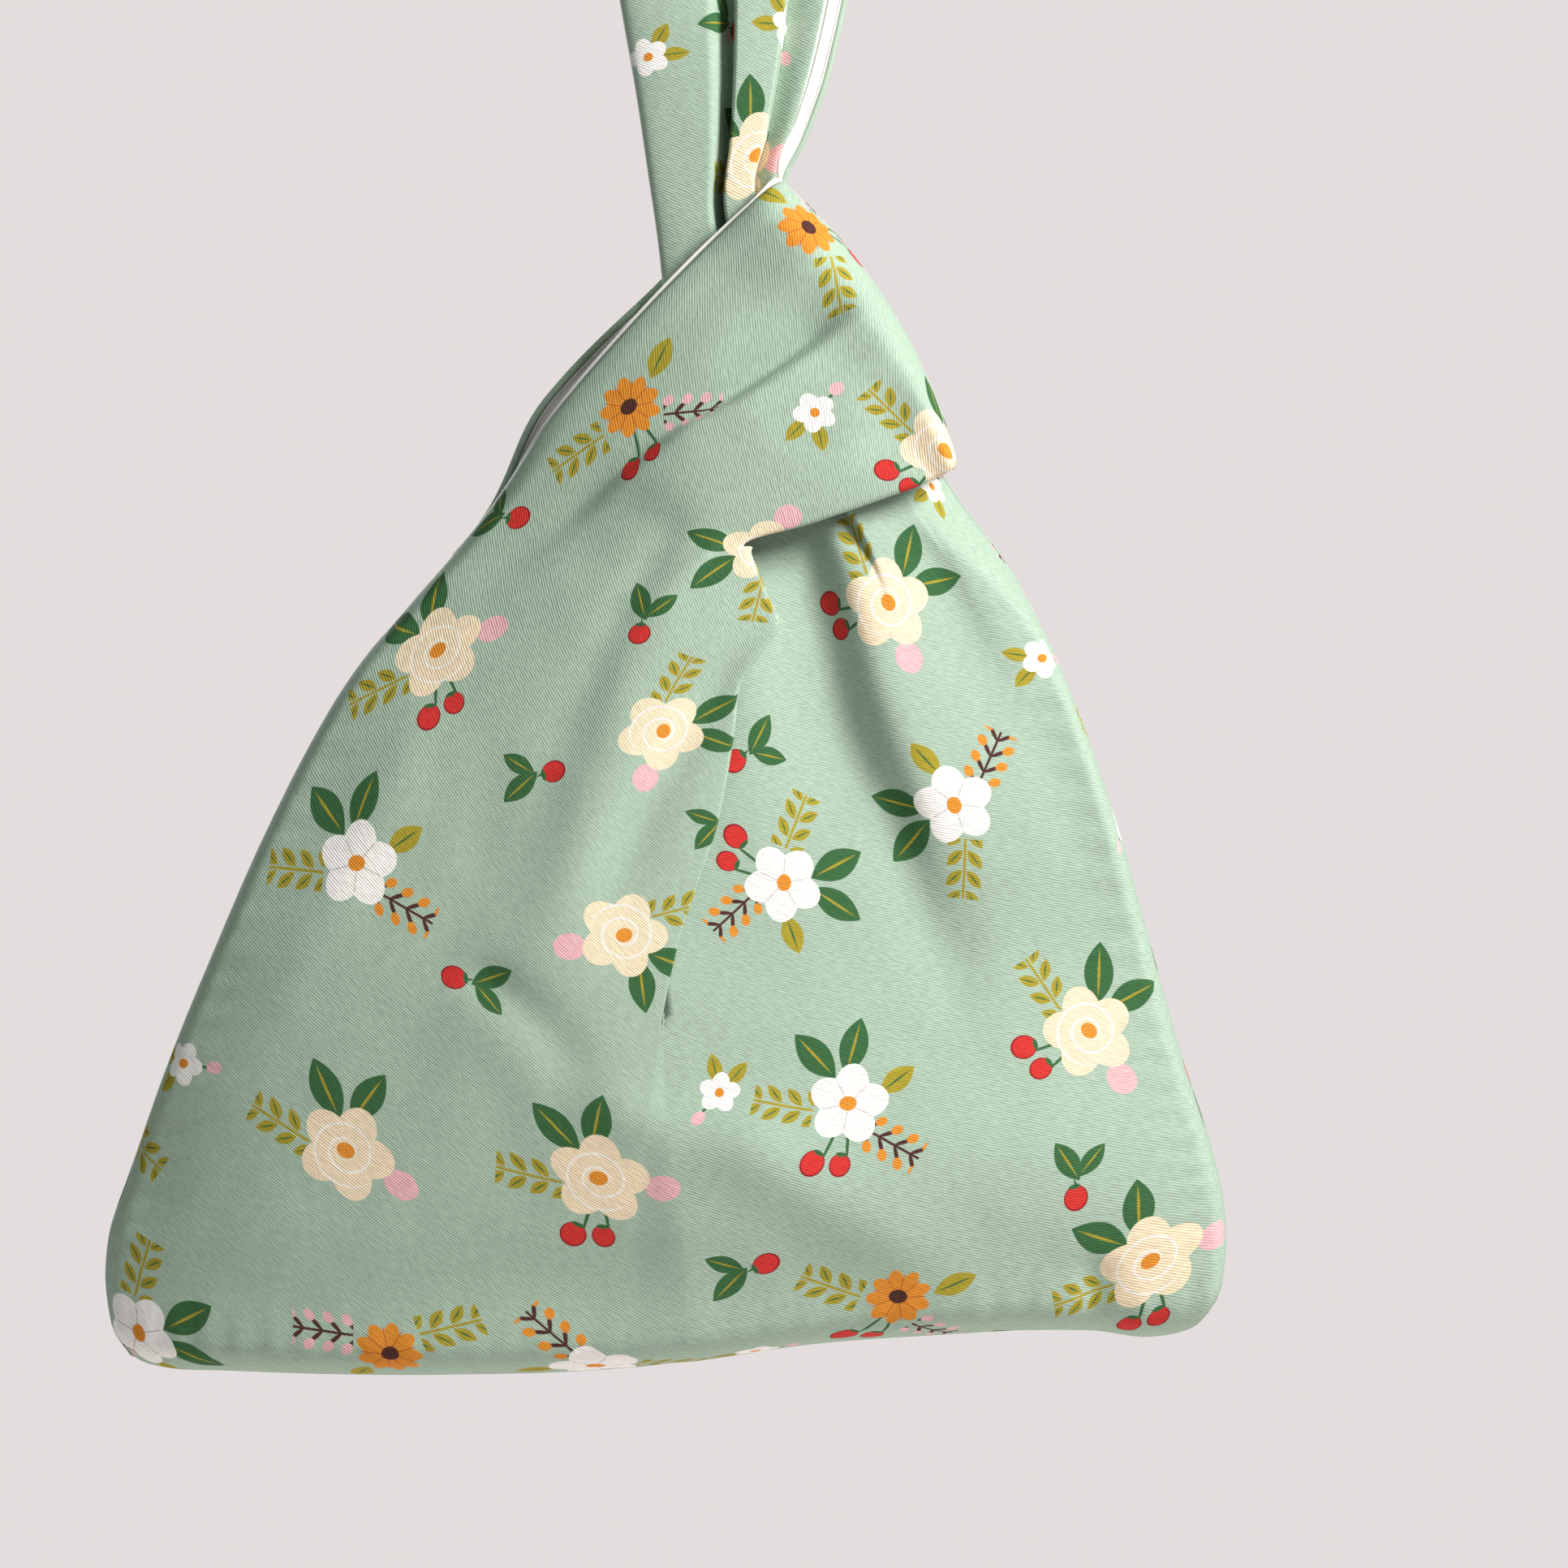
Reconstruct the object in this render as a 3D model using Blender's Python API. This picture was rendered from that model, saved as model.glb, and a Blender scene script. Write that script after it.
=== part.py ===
"""A lined cotton knot bag, hanging closed by its long handle.

Two printed panels, front and back, are sewn together down the sides and along the bottom. Each panel
runs up into two horns. The left horns meet in the short handle, which goes round the gathered right
horns. The right horns meet in the long handle, by which the bag hangs.

X is the bag's width, to the right as seen from the front. Y runs from front to back. Z is up, and the
origin is under the top of the long handle, where a hook or a wrist holds it. The tables are in
millimetres, and their heights are above the bag's lowest point.
"""

import math

import bmesh
import bpy
import numpy as np

MM = 0.001

CLOTH = 1.2  # printed cloth with its seam allowance
LINING = 1.0
GAP = 0.3  # between any two pieces
LINING_SHOWS = 0.9  # how far the lining stands out past the printed edge
LOOP_TOP = 370.0  # middle of the cloth at the top of the long handle
HANG_HEIGHT = LOOP_TOP - CLOTH / 2  # underside of the loop, the origin of the part
SEAM_DEPTH = GAP / 2  # from the middle plane to the cut edge of either panel at a seam
TURNING = 1.7  # depth from which the cloth runs straight back to its seam
NECK_STATION = 190.0  # the foot of the neckline, where the panel parts into two horns
TURN_STATION = 262.0  # the seam at the top of the short handle
TOP_STATION = 376.0  # the seam at the top of the long handle
TURN_ROUND = 17.0  # length over which the short handle turns from front to back
TOP_ROUND = 14.0
SEAM_TOP = 180.0  # the side seams end here, and the armholes begin
BOTTOM_ROUND = 27.0  # height over which the front curves under to the bottom seam
BOTTOM_FADE = 70.0  # height over which the rows lose the bottom seam's shape
SIDE_ROUND = 62.0  # width over which the front curves back to a side seam


def table(names, rows):
    """A table with named columns, as a dictionary of arrays."""
    return dict(zip(names.split(), np.array(rows, float).T))


# The left half of a panel, from its bottom seam up into the short handle. edge is the side seam and
# then the armhole edge, and lip is the fold down the middle and then the neckline edge. The depths are
# towards the front, from the plane of the seams. bow carries a row's middle along the horn.
LEFT = table(
    "station edge_x edge_h lip_x lip_h crown edge_depth lip_drop bow",
    [
        (0, -134.5, 3.0, -24.0, 1.2, 33.0, 1.7, 0.0, -0.5),
        (5, -138.0, 7.0, -24.0, 5.6, 33.2, 1.7, 0.0, 0.0),
        (12, -139.6, 13.0, -24.0, 12.2, 33.5, 1.7, 0.0, 0.0),
        (26, -139.5, 26.0, -24.0, 28.0, 34.5, 1.7, 0.0, 0.0),
        (50, -133.5, 47.0, -23.0, 52.0, 35.0, 1.7, 0.0, 0.0),
        (72, -125.5, 69.5, -20.0, 75.0, 35.0, 1.7, 0.0, 0.0),
        (96, -116.0, 92.5, -14.6, 97.0, 34.0, 1.7, 0.0, 0.0),
        (122, -104.0, 120.0, -2.8, 123.0, 32.0, 1.7, 0.0, 0.0),
        (148, -89.5, 148.0, 1.4, 150.0, 29.5, 1.7, 0.0, 0.0),
        (166, -76.0, 165.5, 5.4, 164.5, 28.0, 1.7, 0.0, 0.0),
        (180, -64.0, 179.5, 3.2, 175.5, 27.0, 1.7, 0.3, 0.0),
        (190, -53.4, 192.2, 2.0, 182.0, 27.0, 3.6, 1.0, 0.0),
        (206, -41.0, 209.5, 17.0, 187.0, 27.0, 9.0, 2.0, 0.0),
        (222, -26.4, 226.4, 31.5, 192.0, 27.5, 15.0, 2.5, 1.0),
        (240, -9.0, 244.5, 42.5, 196.2, 27.5, 19.5, 2.5, 3.0),
        (252, 3.5, 256.8, 47.8, 198.3, 27.5, 20.5, 2.5, 4.5),
        (262, 10.9, 263.4, 49.8, 199.2, 27.5, 20.5, 2.5, 5.5),
    ],
)

# The right half, from the bottom seam up into the long handle. near is the edge beside the middle fold
# and then the neckline edge, far is the side seam and then the armhole edge. groove and ply are the two
# lengthwise pleats of the handle.
RIGHT = table(
    "station near_x near_h far_x far_h crown far_depth near_drop groove ply",
    [
        (0, -10.0, 2.4, 103.0, 10.2, 33.0, 1.7, 0.0, 0.0, 0.0),
        (5, -10.0, 6.6, 107.3, 14.8, 33.2, 1.7, 0.0, 0.0, 0.0),
        (12, -10.0, 13.0, 108.9, 21.5, 33.5, 1.7, 0.0, 0.0, 0.0),
        (26, -10.0, 28.2, 108.9, 33.0, 34.5, 1.7, 0.0, 0.0, 0.0),
        (50, -11.0, 52.0, 105.5, 51.0, 35.0, 1.7, 0.0, 0.0, 0.0),
        (72, -13.0, 75.0, 99.5, 69.5, 34.6, 1.7, 0.0, 0.0, 0.0),
        (96, -11.4, 97.0, 93.0, 92.5, 31.8, 1.7, 0.0, 0.0, 0.0),
        (122, -7.5, 123.0, 84.8, 122.0, 27.6, 1.7, 0.0, 0.0, 0.0),
        (148, -5.0, 150.0, 75.0, 150.0, 24.5, 1.7, 0.0, 0.0, 0.0),
        (166, -3.0, 165.0, 67.3, 167.0, 22.0, 1.8, 0.0, 0.0, 0.0),
        (180, -4.0, 175.5, 60.0, 180.0, 20.0, 2.2, 0.0, 1.0, 0.0),
        (190, -5.0, 182.0, 51.8, 190.5, 19.0, 2.8, 0.5, 3.0, 0.5),
        (200, -7.8, 190.0, 44.8, 200.5, 18.0, 3.8, 1.2, 4.5, 1.0),
        (212, -10.0, 202.0, 35.0, 213.5, 16.5, 6.0, 2.0, 5.5, 1.5),
        (230, -13.5, 219.0, 23.0, 232.0, 15.5, 9.0, 3.0, 6.5, 2.5),
        (250, -15.2, 238.0, 12.0, 254.0, 15.5, 11.0, 3.5, 7.5, 3.0),
        (262, -16.5, 250.0, 9.2, 265.5, 15.8, 12.0, 3.5, 7.5, 3.0),
        (276, -18.5, 264.0, 13.0, 276.0, 16.4, 12.0, 3.5, 7.5, 3.0),
        (292, -21.0, 281.0, 16.5, 288.0, 16.5, 12.0, 3.5, 7.5, 3.0),
        (314, -25.3, 306.0, 20.5, 306.0, 16.3, 12.0, 3.0, 7.0, 2.6),
        (342, -29.0, 336.0, 26.0, 336.0, 15.6, 12.6, 2.0, 4.5, 1.5),
        (362, -30.5, 357.0, 29.0, 357.0, 14.6, 13.4, 1.0, 1.2, 0.3),
        (376, -31.0, 370.0, 30.0, 370.0, 14.2, 14.2, 0.0, 0.0, 0.0),
    ],
)

# The bottom seam, from corner to corner.
BOTTOM = table(
    "x h",
    [(-134.5, 3), (-125, 0.6), (-91, 0), (-33, 0.6), (-10, 2.4), (17, 6.2), (44, 8.1), (93, 9.2), (103, 10.2)],
)

# Folds that fan out from the knot, as seen from the front. Each runs from (x0, h0) to (x1, h1), bent
# sideways by bend in its middle. lift is towards the viewer. fine is the fold's half width at its
# start, and wide at its end.
FRONT_FOLDS = table(
    "x0 h0 x1 h1 bend lift fine wide",
    [
        (15, 192, 50, 92, 4, -7.5, 5, 13),
        (25, 190, 46, 124, 3, 3.2, 4, 10),
        (42, 192, 66, 138, 3, -4.0, 5, 10),
        (50, 184, 84, 104, 4, 2.0, 5, 13),
        (4, 172, 18, 112, 2, 2.5, 6, 13),
        (-20, 164, -36, 98, -5, -2.0, 6, 12),
        (-2, 190, -52, 148, -3, 3.4, 4, 11),
        (-8, 202, -80, 146, -4, -3.4, 6, 13),
        (-16, 176, -96, 104, -6, -1.6, 7, 15),
        (-52, 88, -33, 68, -3, -2.6, 4, 6),
        (-44, 92, -18, 66, -3, 2.2, 6, 9),
        (-12, 52, -12, 28, 0, 1.6, 4, 6),
        (79, 26, 80, 4, 0, -3.0, 4, 6),
        (-128, 34, -134, 60, 0, -1.0, 7, 9),
    ],
)
BACK_FOLDS = table(
    "x0 h0 x1 h1 bend lift fine wide",
    [
        (18, 190, 40, 98, -5, -6.5, 5, 15),
        (30, 190, 58, 120, 4, 3.0, 5, 11),
        (42, 190, 80, 122, 4, -3.0, 5, 12),
        (2, 168, 6, 92, 3, 2.6, 7, 14),
        (-22, 166, -46, 92, 5, -3.0, 7, 15),
        (-10, 196, -70, 150, -4, 3.0, 5, 12),
        (-26, 176, -88, 96, 4, 2.0, 8, 15),
        (-20, 210, -72, 164, -4, -3.0, 6, 11),
        (-60, 66, -20, 52, 4, -2.2, 6, 9),
        (30, 52, 58, 44, -3, -1.8, 7, 10),
    ],
)

# The short handle's lengthwise fold: the part below it stands out over the part above it.
BAND_FOLD = {"from_x": -12.0, "from_h": 207.0, "to_x": 31.0, "to_h": 235.0, "bend": -2.5, "step": 5.0}
BAND_FOLD_SOFT = 3.6  # half the width over which the step rises
BAND_FOLD_FADE = 30.0  # length over which it dies away at its lower end

# How the back panel differs: its armhole edge stands up past the front's and shows there.
BACK_EDGE_RISE = 5.2
BACK_EDGE_FROM, BACK_EDGE_TO = 184.0, 250.0
BACK_FOLD_SHIFT = table("station x", [(0, 0), (5, 0), (50, 24), (96, 16), (140, 6), (180, 0), (380, 0)])

GROOVE_AT, GROOVE_BEFORE, GROOVE_AFTER = 0.50, 0.17, 0.07  # across the long handle, as shares of it
PLY_AT, PLY_SOFT = 0.80, 0.05

LEFT_COLUMNS, RIGHT_COLUMNS = 14, 18
TUCK_ARC = 4  # columns round each of the middle fold's two bends
LAP_GROWS = 2.0  # the lip is this far from lapping over where the two bends begin
BODY_ROWS, BAND_ROWS, STRAP_ROWS = 18, 8, 15
TURN_ROWS = 4
SHORT_LINING, LONG_LINING = 6, 4  # columns of a handle that have lining behind them
LINING_FROM = 194.0
LINING_ENDS = 1.5  # short of a handle's seam


def smooth(rows, name, at, mirror=1.0):
    """Column name of a table at the stations, along a cubic through its rows.

    Past its last row a horn goes on down the back. mirror is 1 for a value that is the same there and
    -1 for a depth, which has the other sign.
    """
    knots, values = rows["station"], rows[name]
    knots = np.append(knots, 2 * knots[-1] - knots[-2])
    values = np.append(values, mirror * values[-2])
    step = np.diff(knots)
    rise = np.diff(values) / step
    inner = (rise[1:] * step[:-1] + rise[:-1] * step[1:]) / (step[1:] + step[:-1])
    slope = np.concatenate([rise[:1], inner])
    i = np.clip(np.searchsorted(knots, at, side="right") - 1, 0, len(slope) - 2)
    t = (at - knots[i]) / step[i]
    return (
        (1 + 2 * t) * (1 - t) ** 2 * values[i]
        + t * (1 - t) ** 2 * step[i] * slope[i]
        + t * t * (3 - 2 * t) * values[i + 1]
        + t * t * (t - 1) * step[i] * slope[i + 1]
    )


def dome(distance, reach):
    """0 at an edge and 1 from reach inwards, along a quarter circle."""
    t = np.clip(distance / reach, 0, 1)
    return np.sqrt(t * (2 - t))


def ramp(t):
    """0 below 0 and 1 above 1, with a soft start and end."""
    t = np.clip(t, 0, 1)
    return t * t * (3 - 2 * t)


def bell(t):
    """1 at 0, falling softly to nothing about 2 away."""
    return np.exp(-t * t)


def settle(station, x, h, straight):
    """The height of a point once its row follows the bottom seam. straight is the first row's before that."""
    share = 1 - ramp(station / BOTTOM_FADE)
    return h + (np.interp(x, BOTTOM["x"], BOTTOM["h"]) - straight) * share


def fold_lift(folds, x, h):
    """How much the folds of a table bring the cloth forward at (x, h)."""
    lift = np.zeros(np.shape(x))
    for x0, h0, x1, h1, bend, height, fine, wide in zip(*folds.values()):
        length = math.hypot(x1 - x0, h1 - h0)
        along_x, along_h = (x1 - x0) / length, (h1 - h0) / length
        t = ((x - x0) * along_x + (h - h0) * along_h) / length
        middle = bend * 4 * np.clip(t, 0, 1) * (1 - np.clip(t, 0, 1))
        aside = (x - x0) * along_h - (h - h0) * along_x - middle
        width = fine + (wide - fine) * np.clip(t, 0, 1)
        ends = ramp((t + 0.15) / 0.3) * ramp((1.15 - t) / 0.55)
        lift += height * ends * bell(aside / width)
    return lift


def left_half(station, across, folds):
    """(x, h, depth) of the left half of a panel. across is 0 at the outer edge and 1 at the lip."""
    edge_x, edge_h = smooth(LEFT, "edge_x", station), smooth(LEFT, "edge_h", station)
    lip_x, lip_h = smooth(LEFT, "lip_x", station), smooth(LEFT, "lip_h", station)
    crown = smooth(LEFT, "crown", station, -1)
    edge_depth = smooth(LEFT, "edge_depth", station, -1)
    lip_drop = smooth(LEFT, "lip_drop", station, -1)
    bow = smooth(LEFT, "bow", station) * 4 * across * (1 - across)
    width = np.hypot(lip_x - edge_x, lip_h - edge_h)
    x = edge_x + (lip_x - edge_x) * across - bow * (lip_h - edge_h) / width
    h = edge_h + (lip_h - edge_h) * across + bow * (lip_x - edge_x) / width
    horn = ramp((station - NECK_STATION + 30) / 40)
    reach = SIDE_ROUND + (0.55 * width - SIDE_ROUND) * horn
    h = settle(station, x, h, LEFT["edge_h"][0] + (LEFT["lip_h"][0] - LEFT["edge_h"][0]) * across)
    rise = dome(across * width, reach) ** (1 + horn)
    depth = edge_depth + (crown - edge_depth) * rise
    depth = depth - lip_drop * (1 - dome((1 - across) * width, 14))
    depth = depth + rise * (fold_lift(folds, x, h) + band_step(x, h))
    stands = dome(station, BOTTOM_ROUND) * dome(TURN_STATION - station, TURN_ROUND)
    return x, h, TURNING + (depth - TURNING) * stands


def band_step(x, h):
    """The short handle's lengthwise fold, as extra depth below its line."""
    f = BAND_FOLD
    length = math.hypot(f["to_x"] - f["from_x"], f["to_h"] - f["from_h"])
    along_x, along_h = (f["to_x"] - f["from_x"]) / length, (f["to_h"] - f["from_h"]) / length
    t = (x - f["from_x"]) * along_x + (h - f["from_h"]) * along_h
    middle = f["bend"] * 4 * np.clip(t / length, 0, 1) * (1 - np.clip(t / length, 0, 1))
    below = (x - f["from_x"]) * along_h - (h - f["from_h"]) * along_x - middle
    ends = ramp((t + BAND_FOLD_FADE) / BAND_FOLD_FADE)
    side = np.tanh(below / BAND_FOLD_SOFT) * bell(below / 26)
    return f["step"] * ends * side


def pleats(across, groove, ply):
    """How far the long handle's two lengthwise pleats take the cloth back."""
    before = ramp(1 - (GROOVE_AT - across) / GROOVE_BEFORE) * (across <= GROOVE_AT)
    after = ramp(1 - (across - GROOVE_AT) / GROOVE_AFTER) * (across > GROOVE_AT)
    return groove * (before + after) + ply * ramp((across - PLY_AT) / PLY_SOFT)


def right_half(station, across, folds):
    """(x, h, depth) of the right half of a panel. across is 0 beside the fold and 1 at the far edge."""
    near_x, near_h = smooth(RIGHT, "near_x", station), smooth(RIGHT, "near_h", station)
    far_x, far_h = smooth(RIGHT, "far_x", station), smooth(RIGHT, "far_h", station)
    crown = smooth(RIGHT, "crown", station, -1)
    far_depth = smooth(RIGHT, "far_depth", station, -1)
    near_drop = smooth(RIGHT, "near_drop", station, -1)
    groove, ply = smooth(RIGHT, "groove", station, -1), smooth(RIGHT, "ply", station, -1)
    width = np.hypot(far_x - near_x, far_h - near_h)
    x = near_x + (far_x - near_x) * across
    h = near_h + (far_h - near_h) * across
    horn = ramp((station - NECK_STATION + 30) / 60)
    reach = SIDE_ROUND + (0.45 * width - SIDE_ROUND) * horn
    h = settle(station, x, h, RIGHT["near_h"][0] + (RIGHT["far_h"][0] - RIGHT["near_h"][0]) * across)
    rise = dome((1 - across) * width, reach) ** (1 + horn)
    depth = far_depth + (crown - far_depth) * rise
    depth = depth - near_drop * (1 - dome(across * width, 12)) - pleats(across, groove, ply)
    body = 1 - ramp((station - NECK_STATION + 4) / 20)
    depth = depth + body * rise * fold_lift(folds, x, h)
    stands = dome(station, BOTTOM_ROUND) * dome(TOP_STATION - station, TOP_ROUND)
    return x, h, TURNING + (depth - TURNING) * stands


def middle_fold(station, place_in_tuck, folds):
    """(x, h, depth) of the tuck between the halves, at places 1 to 2 * TUCK_ARC along it.

    The cloth turns under along an arc at the left half's lip, runs back behind it, and turns again along
    an arc into the right half. Lower down the lip doesn't lap over, and the cloth runs smoothly across.
    """
    left = left_half(station, np.ones_like(station), folds)
    right = right_half(station, np.zeros_like(station), folds)
    share = place_in_tuck / (2 * TUCK_ARC + 1)
    radius = (left[2] - right[2]) / 4
    second = place_in_tuck > TUCK_ARC
    angle = np.pi * np.where(second, 2 * TUCK_ARC + 1 - place_in_tuck, place_in_tuck) / TUCK_ARC
    out, down = radius * np.sin(angle), radius * (1 - np.cos(angle))
    lapped_x = np.where(second, right[0] - out, left[0] + out)
    lapped_depth = np.where(second, right[2] + down, left[2] - down)
    plain_x = left[0] + (right[0] - left[0]) * share
    plain_depth = left[2] + (right[2] - left[2]) * ramp(share)
    lapping = ramp(1 + (left[0] - right[0]) / LAP_GROWS)
    x = plain_x + (lapped_x - plain_x) * lapping
    depth = plain_depth + (lapped_depth - plain_depth) * lapping
    return x, left[1] + (right[1] - left[1]) * ramp(share), depth


def shift_back(half, station, across, x, h):
    """(x, h) as the back has them: its middle fold hangs further right, and its armhole edge stands up."""
    shift = np.interp(station, BACK_FOLD_SHIFT["station"], BACK_FOLD_SHIFT["x"])
    if half is middle_fold:
        return x + shift, h
    if half is right_half:
        return x + shift * (1 - across), h
    along = ramp((station - BACK_EDGE_FROM) / 26) * ramp((BACK_EDGE_TO + 10 - station) / 20)
    rise = BACK_EDGE_RISE * along * (1 - across) ** 2
    return x + shift * across - 0.72 * rise, h + 0.69 * rise


def place(x, h, depth, back):
    """Points in metres, in the part's own frame."""
    y = depth if back else -depth
    return np.stack([x, y, h - HANG_HEIGHT], axis=-1) * MM


def crowded(count):
    """count + 1 shares from 0 to 1, somewhat closer together towards 1, where the cloth turns."""
    rest = np.linspace(1, 0, count + 1)
    return 1 - (0.62 * rest + 0.38 * rest**2)


def up_to_turn(first, last, rows, radius):
    """Stations from first to last: evenly spaced rows, then evenly turned ones round the radius."""
    angle = np.linspace(math.pi / 2, 0, TURN_ROWS + 1)
    return np.concatenate([np.linspace(first, last - radius, rows + 1)[:-1], last - radius * (1 - np.cos(angle))])


def grid(half, stations, shares, folds, back):
    """A grid of points, a row for each station, over one half of a panel."""
    station, across = np.meshgrid(stations, shares, indexing="ij")
    x, h, depth = half(station, across, folds)
    if back:
        x, h = shift_back(half, station, across, x, h)
    return place(x, h, depth, back)


def add_faces(mesh, rows, flip):
    """Quads between neighbouring rows of vertices."""
    for low, high in zip(rows, rows[1:]):
        for i in range(len(low) - 1):
            quad = (low[i], low[i + 1], high[i + 1], high[i])
            mesh.faces.new(quad[::-1] if flip else quad)


def add_points(mesh, points):
    """A list of rows of vertices for a grid of points."""
    return [[mesh.verts.new(p) for p in row] for row in points]


def cloth_object(name, mesh, thickness, material):
    """A sheet of cloth of the thickness, half of it on each side of the mesh."""
    data = bpy.data.meshes.new(name)
    mesh.to_mesh(data)
    mesh.free()
    data.shade_smooth()
    data.materials.append(material)
    sheet = bpy.data.objects.new(name, data)
    bpy.context.scene.collection.objects.link(sheet)
    wall = sheet.modifiers.new("Cloth", "SOLIDIFY")
    wall.thickness = thickness * MM
    wall.offset = 0.0
    wall.use_even_offset = False
    wall.thickness_clamp = 0.0
    return sheet


def add_turning(mesh, chain, back, flip):
    """Runs the cloth straight back from a chain of vertices to where the seam joins it to the other panel."""
    depth = (SEAM_DEPTH if back else -SEAM_DEPTH) * MM
    edge = [mesh.verts.new((v.co.x, depth, v.co.z)) for v in chain]
    add_faces(mesh, [edge, chain], flip)


def make_side(side, folds, back, printed, plain):
    """One printed panel with its halves of the two handles, and the lining that shows along its edges."""
    body = np.concatenate([[0, 1.5, 5.0, 10.0], np.linspace(17, NECK_STATION, BODY_ROWS - 3)])
    band = up_to_turn(NECK_STATION, TURN_STATION, BAND_ROWS, TURN_ROUND)
    strap = up_to_turn(NECK_STATION, TOP_STATION, STRAP_ROWS, TOP_ROUND)
    left = 1 - crowded(LEFT_COLUMNS)[::-1]
    right = crowded(RIGHT_COLUMNS)
    tuck = np.arange(1, 2 * TUCK_ARC + 1)
    mesh = bmesh.new()
    wide = [(left_half, left), (middle_fold, tuck), (right_half, right)]
    halves = [grid(half, body, shares, folds, back) for half, shares in wide]
    rows = add_points(mesh, np.concatenate(halves, axis=1))
    add_faces(mesh, rows, back)
    short = add_points(mesh, grid(left_half, band[1:], left, folds, back))
    add_faces(mesh, [rows[-1][: len(left)], *short], back)
    long = add_points(mesh, grid(right_half, strap[1:], right, folds, back))
    add_faces(mesh, [rows[-1][-len(right) :], *long], back)
    sewn = [row for row, station in zip(rows, body) if station <= SEAM_TOP]
    sides = [row[0] for row in sewn[:0:-1]] + rows[0] + [row[-1] for row in sewn[1:]]
    add_turning(mesh, sides, back, back)
    add_turning(mesh, short[-1], back, not back)
    add_turning(mesh, long[-1], back, not back)
    mesh.normal_update()
    shown = [row for row, at in zip(short, band[1:]) if LINING_FROM <= at <= TURN_STATION - LINING_ENDS]
    make_lining("short_lining_" + side, [row[:SHORT_LINING] for row in shown], back, plain)
    shown = [row for row, at in zip(long, strap[1:]) if TURN_STATION - 14 <= at <= TOP_STATION - LINING_ENDS]
    make_lining("long_lining_neck_" + side, [row[:LONG_LINING] for row in shown], back, plain)
    arm = [row[: -LONG_LINING - 1 : -1] for row in shown]
    make_lining("long_lining_arm_" + side, arm, not back, plain)
    cloth_object(side + "_panel", mesh, CLOTH, printed)


def make_lining(name, rows, back, material):
    """A strip of lining behind rows of a panel's vertices, standing out a little past the cut edge.

    Each row runs inwards from the edge.
    """
    behind = (CLOTH / 2 + GAP + LINING / 2) * MM
    mesh = bmesh.new()
    lines = []
    for row in rows:
        points = [v.co - v.normal * behind for v in row]
        points[0] += (points[0] - points[1]).normalized() * LINING_SHOWS * MM
        lines.append([mesh.verts.new(point) for point in points])
    add_faces(mesh, lines, back)
    return cloth_object(name, mesh, LINING, material)


def cotton(name, colour, roughness):
    """A plain cloth material."""
    material = bpy.data.materials.new(name)
    material.use_nodes = True
    shader = material.node_tree.nodes["Principled BSDF"]
    shader.inputs["Base Color"].default_value = (*colour, 1)
    shader.inputs["Roughness"].default_value = roughness
    shader.inputs["Metallic"].default_value = 0.0
    return material


def main():
    for old in list(bpy.data.objects):
        bpy.data.objects.remove(old)
    printed = cotton("printed_cotton", (0.37, 0.56, 0.43), 0.85)
    plain = cotton("lining_cotton", (0.80, 0.78, 0.73), 0.9)
    make_side("front", FRONT_FOLDS, False, printed, plain)
    make_side("back", BACK_FOLDS, True, printed, plain)


if __name__ == "__main__":
    main()
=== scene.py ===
"""A lined cotton knot bag, hanging closed by its long handle: its looks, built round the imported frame.

Two printed panels, front and back, each with a lining behind it, are sewn together down the sides and along
the bottom. Each panel runs up into two horns. The left horns meet in the short handle, which goes round the
gathered right horns, and these meet in the long handle, by which the bag hangs.

X is the bag's width, to the right as seen from the front. Y runs from front to back. Z is up, and the origin
is under the top of the long handle. Tables are in millimetres, with heights above the bag's lowest point.
"""

import logging
import math
from dataclasses import dataclass, field
from enum import Enum

import bpy
import numpy as np
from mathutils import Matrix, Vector, noise


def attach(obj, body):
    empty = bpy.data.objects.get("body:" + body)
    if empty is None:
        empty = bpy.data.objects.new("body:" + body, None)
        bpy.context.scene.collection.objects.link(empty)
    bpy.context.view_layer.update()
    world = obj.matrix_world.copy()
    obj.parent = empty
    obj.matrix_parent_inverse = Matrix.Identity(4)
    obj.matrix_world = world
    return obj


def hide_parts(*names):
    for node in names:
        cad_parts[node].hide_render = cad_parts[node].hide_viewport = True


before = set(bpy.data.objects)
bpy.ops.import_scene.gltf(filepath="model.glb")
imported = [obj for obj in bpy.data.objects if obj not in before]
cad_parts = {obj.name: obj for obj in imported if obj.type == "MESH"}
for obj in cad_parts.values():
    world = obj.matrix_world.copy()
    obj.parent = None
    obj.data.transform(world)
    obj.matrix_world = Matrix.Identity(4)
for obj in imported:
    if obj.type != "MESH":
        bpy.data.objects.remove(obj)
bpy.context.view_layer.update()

MM = 0.001
LOG = logging.getLogger("knot_bag")

PRINT_MAP = "print"

CLOTH, LINING = 0.5, 0.4  # how thick they are
BETWEEN = 0.06  # gap from the printed cloth to its lining
HANG_HEIGHT = 369.4  # underside of the loop, the origin of the part
SEAM_DEPTH = 0.05  # from the plane between the two panels
TURNING = 1.7  # depth from which the cloth runs straight back to its seam
LAP_GROWS = 2.0  # how much of a lap or a gap it takes for the tuck to turn under

# Stations, which are places up a panel.
SEAM_TOP = 180.0  # the side seams end here, and the armholes begin
NECK_STATION = 190.0  # the foot of the neckline, where a panel parts into two horns
TURN_STATION = 262.0  # the seam at the top of the short handle
TOP_STATION = 376.0  # the seam at the top of the long handle

# The roundings at the two handles' seams, each over a distance from the seam.
TURN_ROUND, TOP_ROUND = 10.0, 14.0

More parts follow.
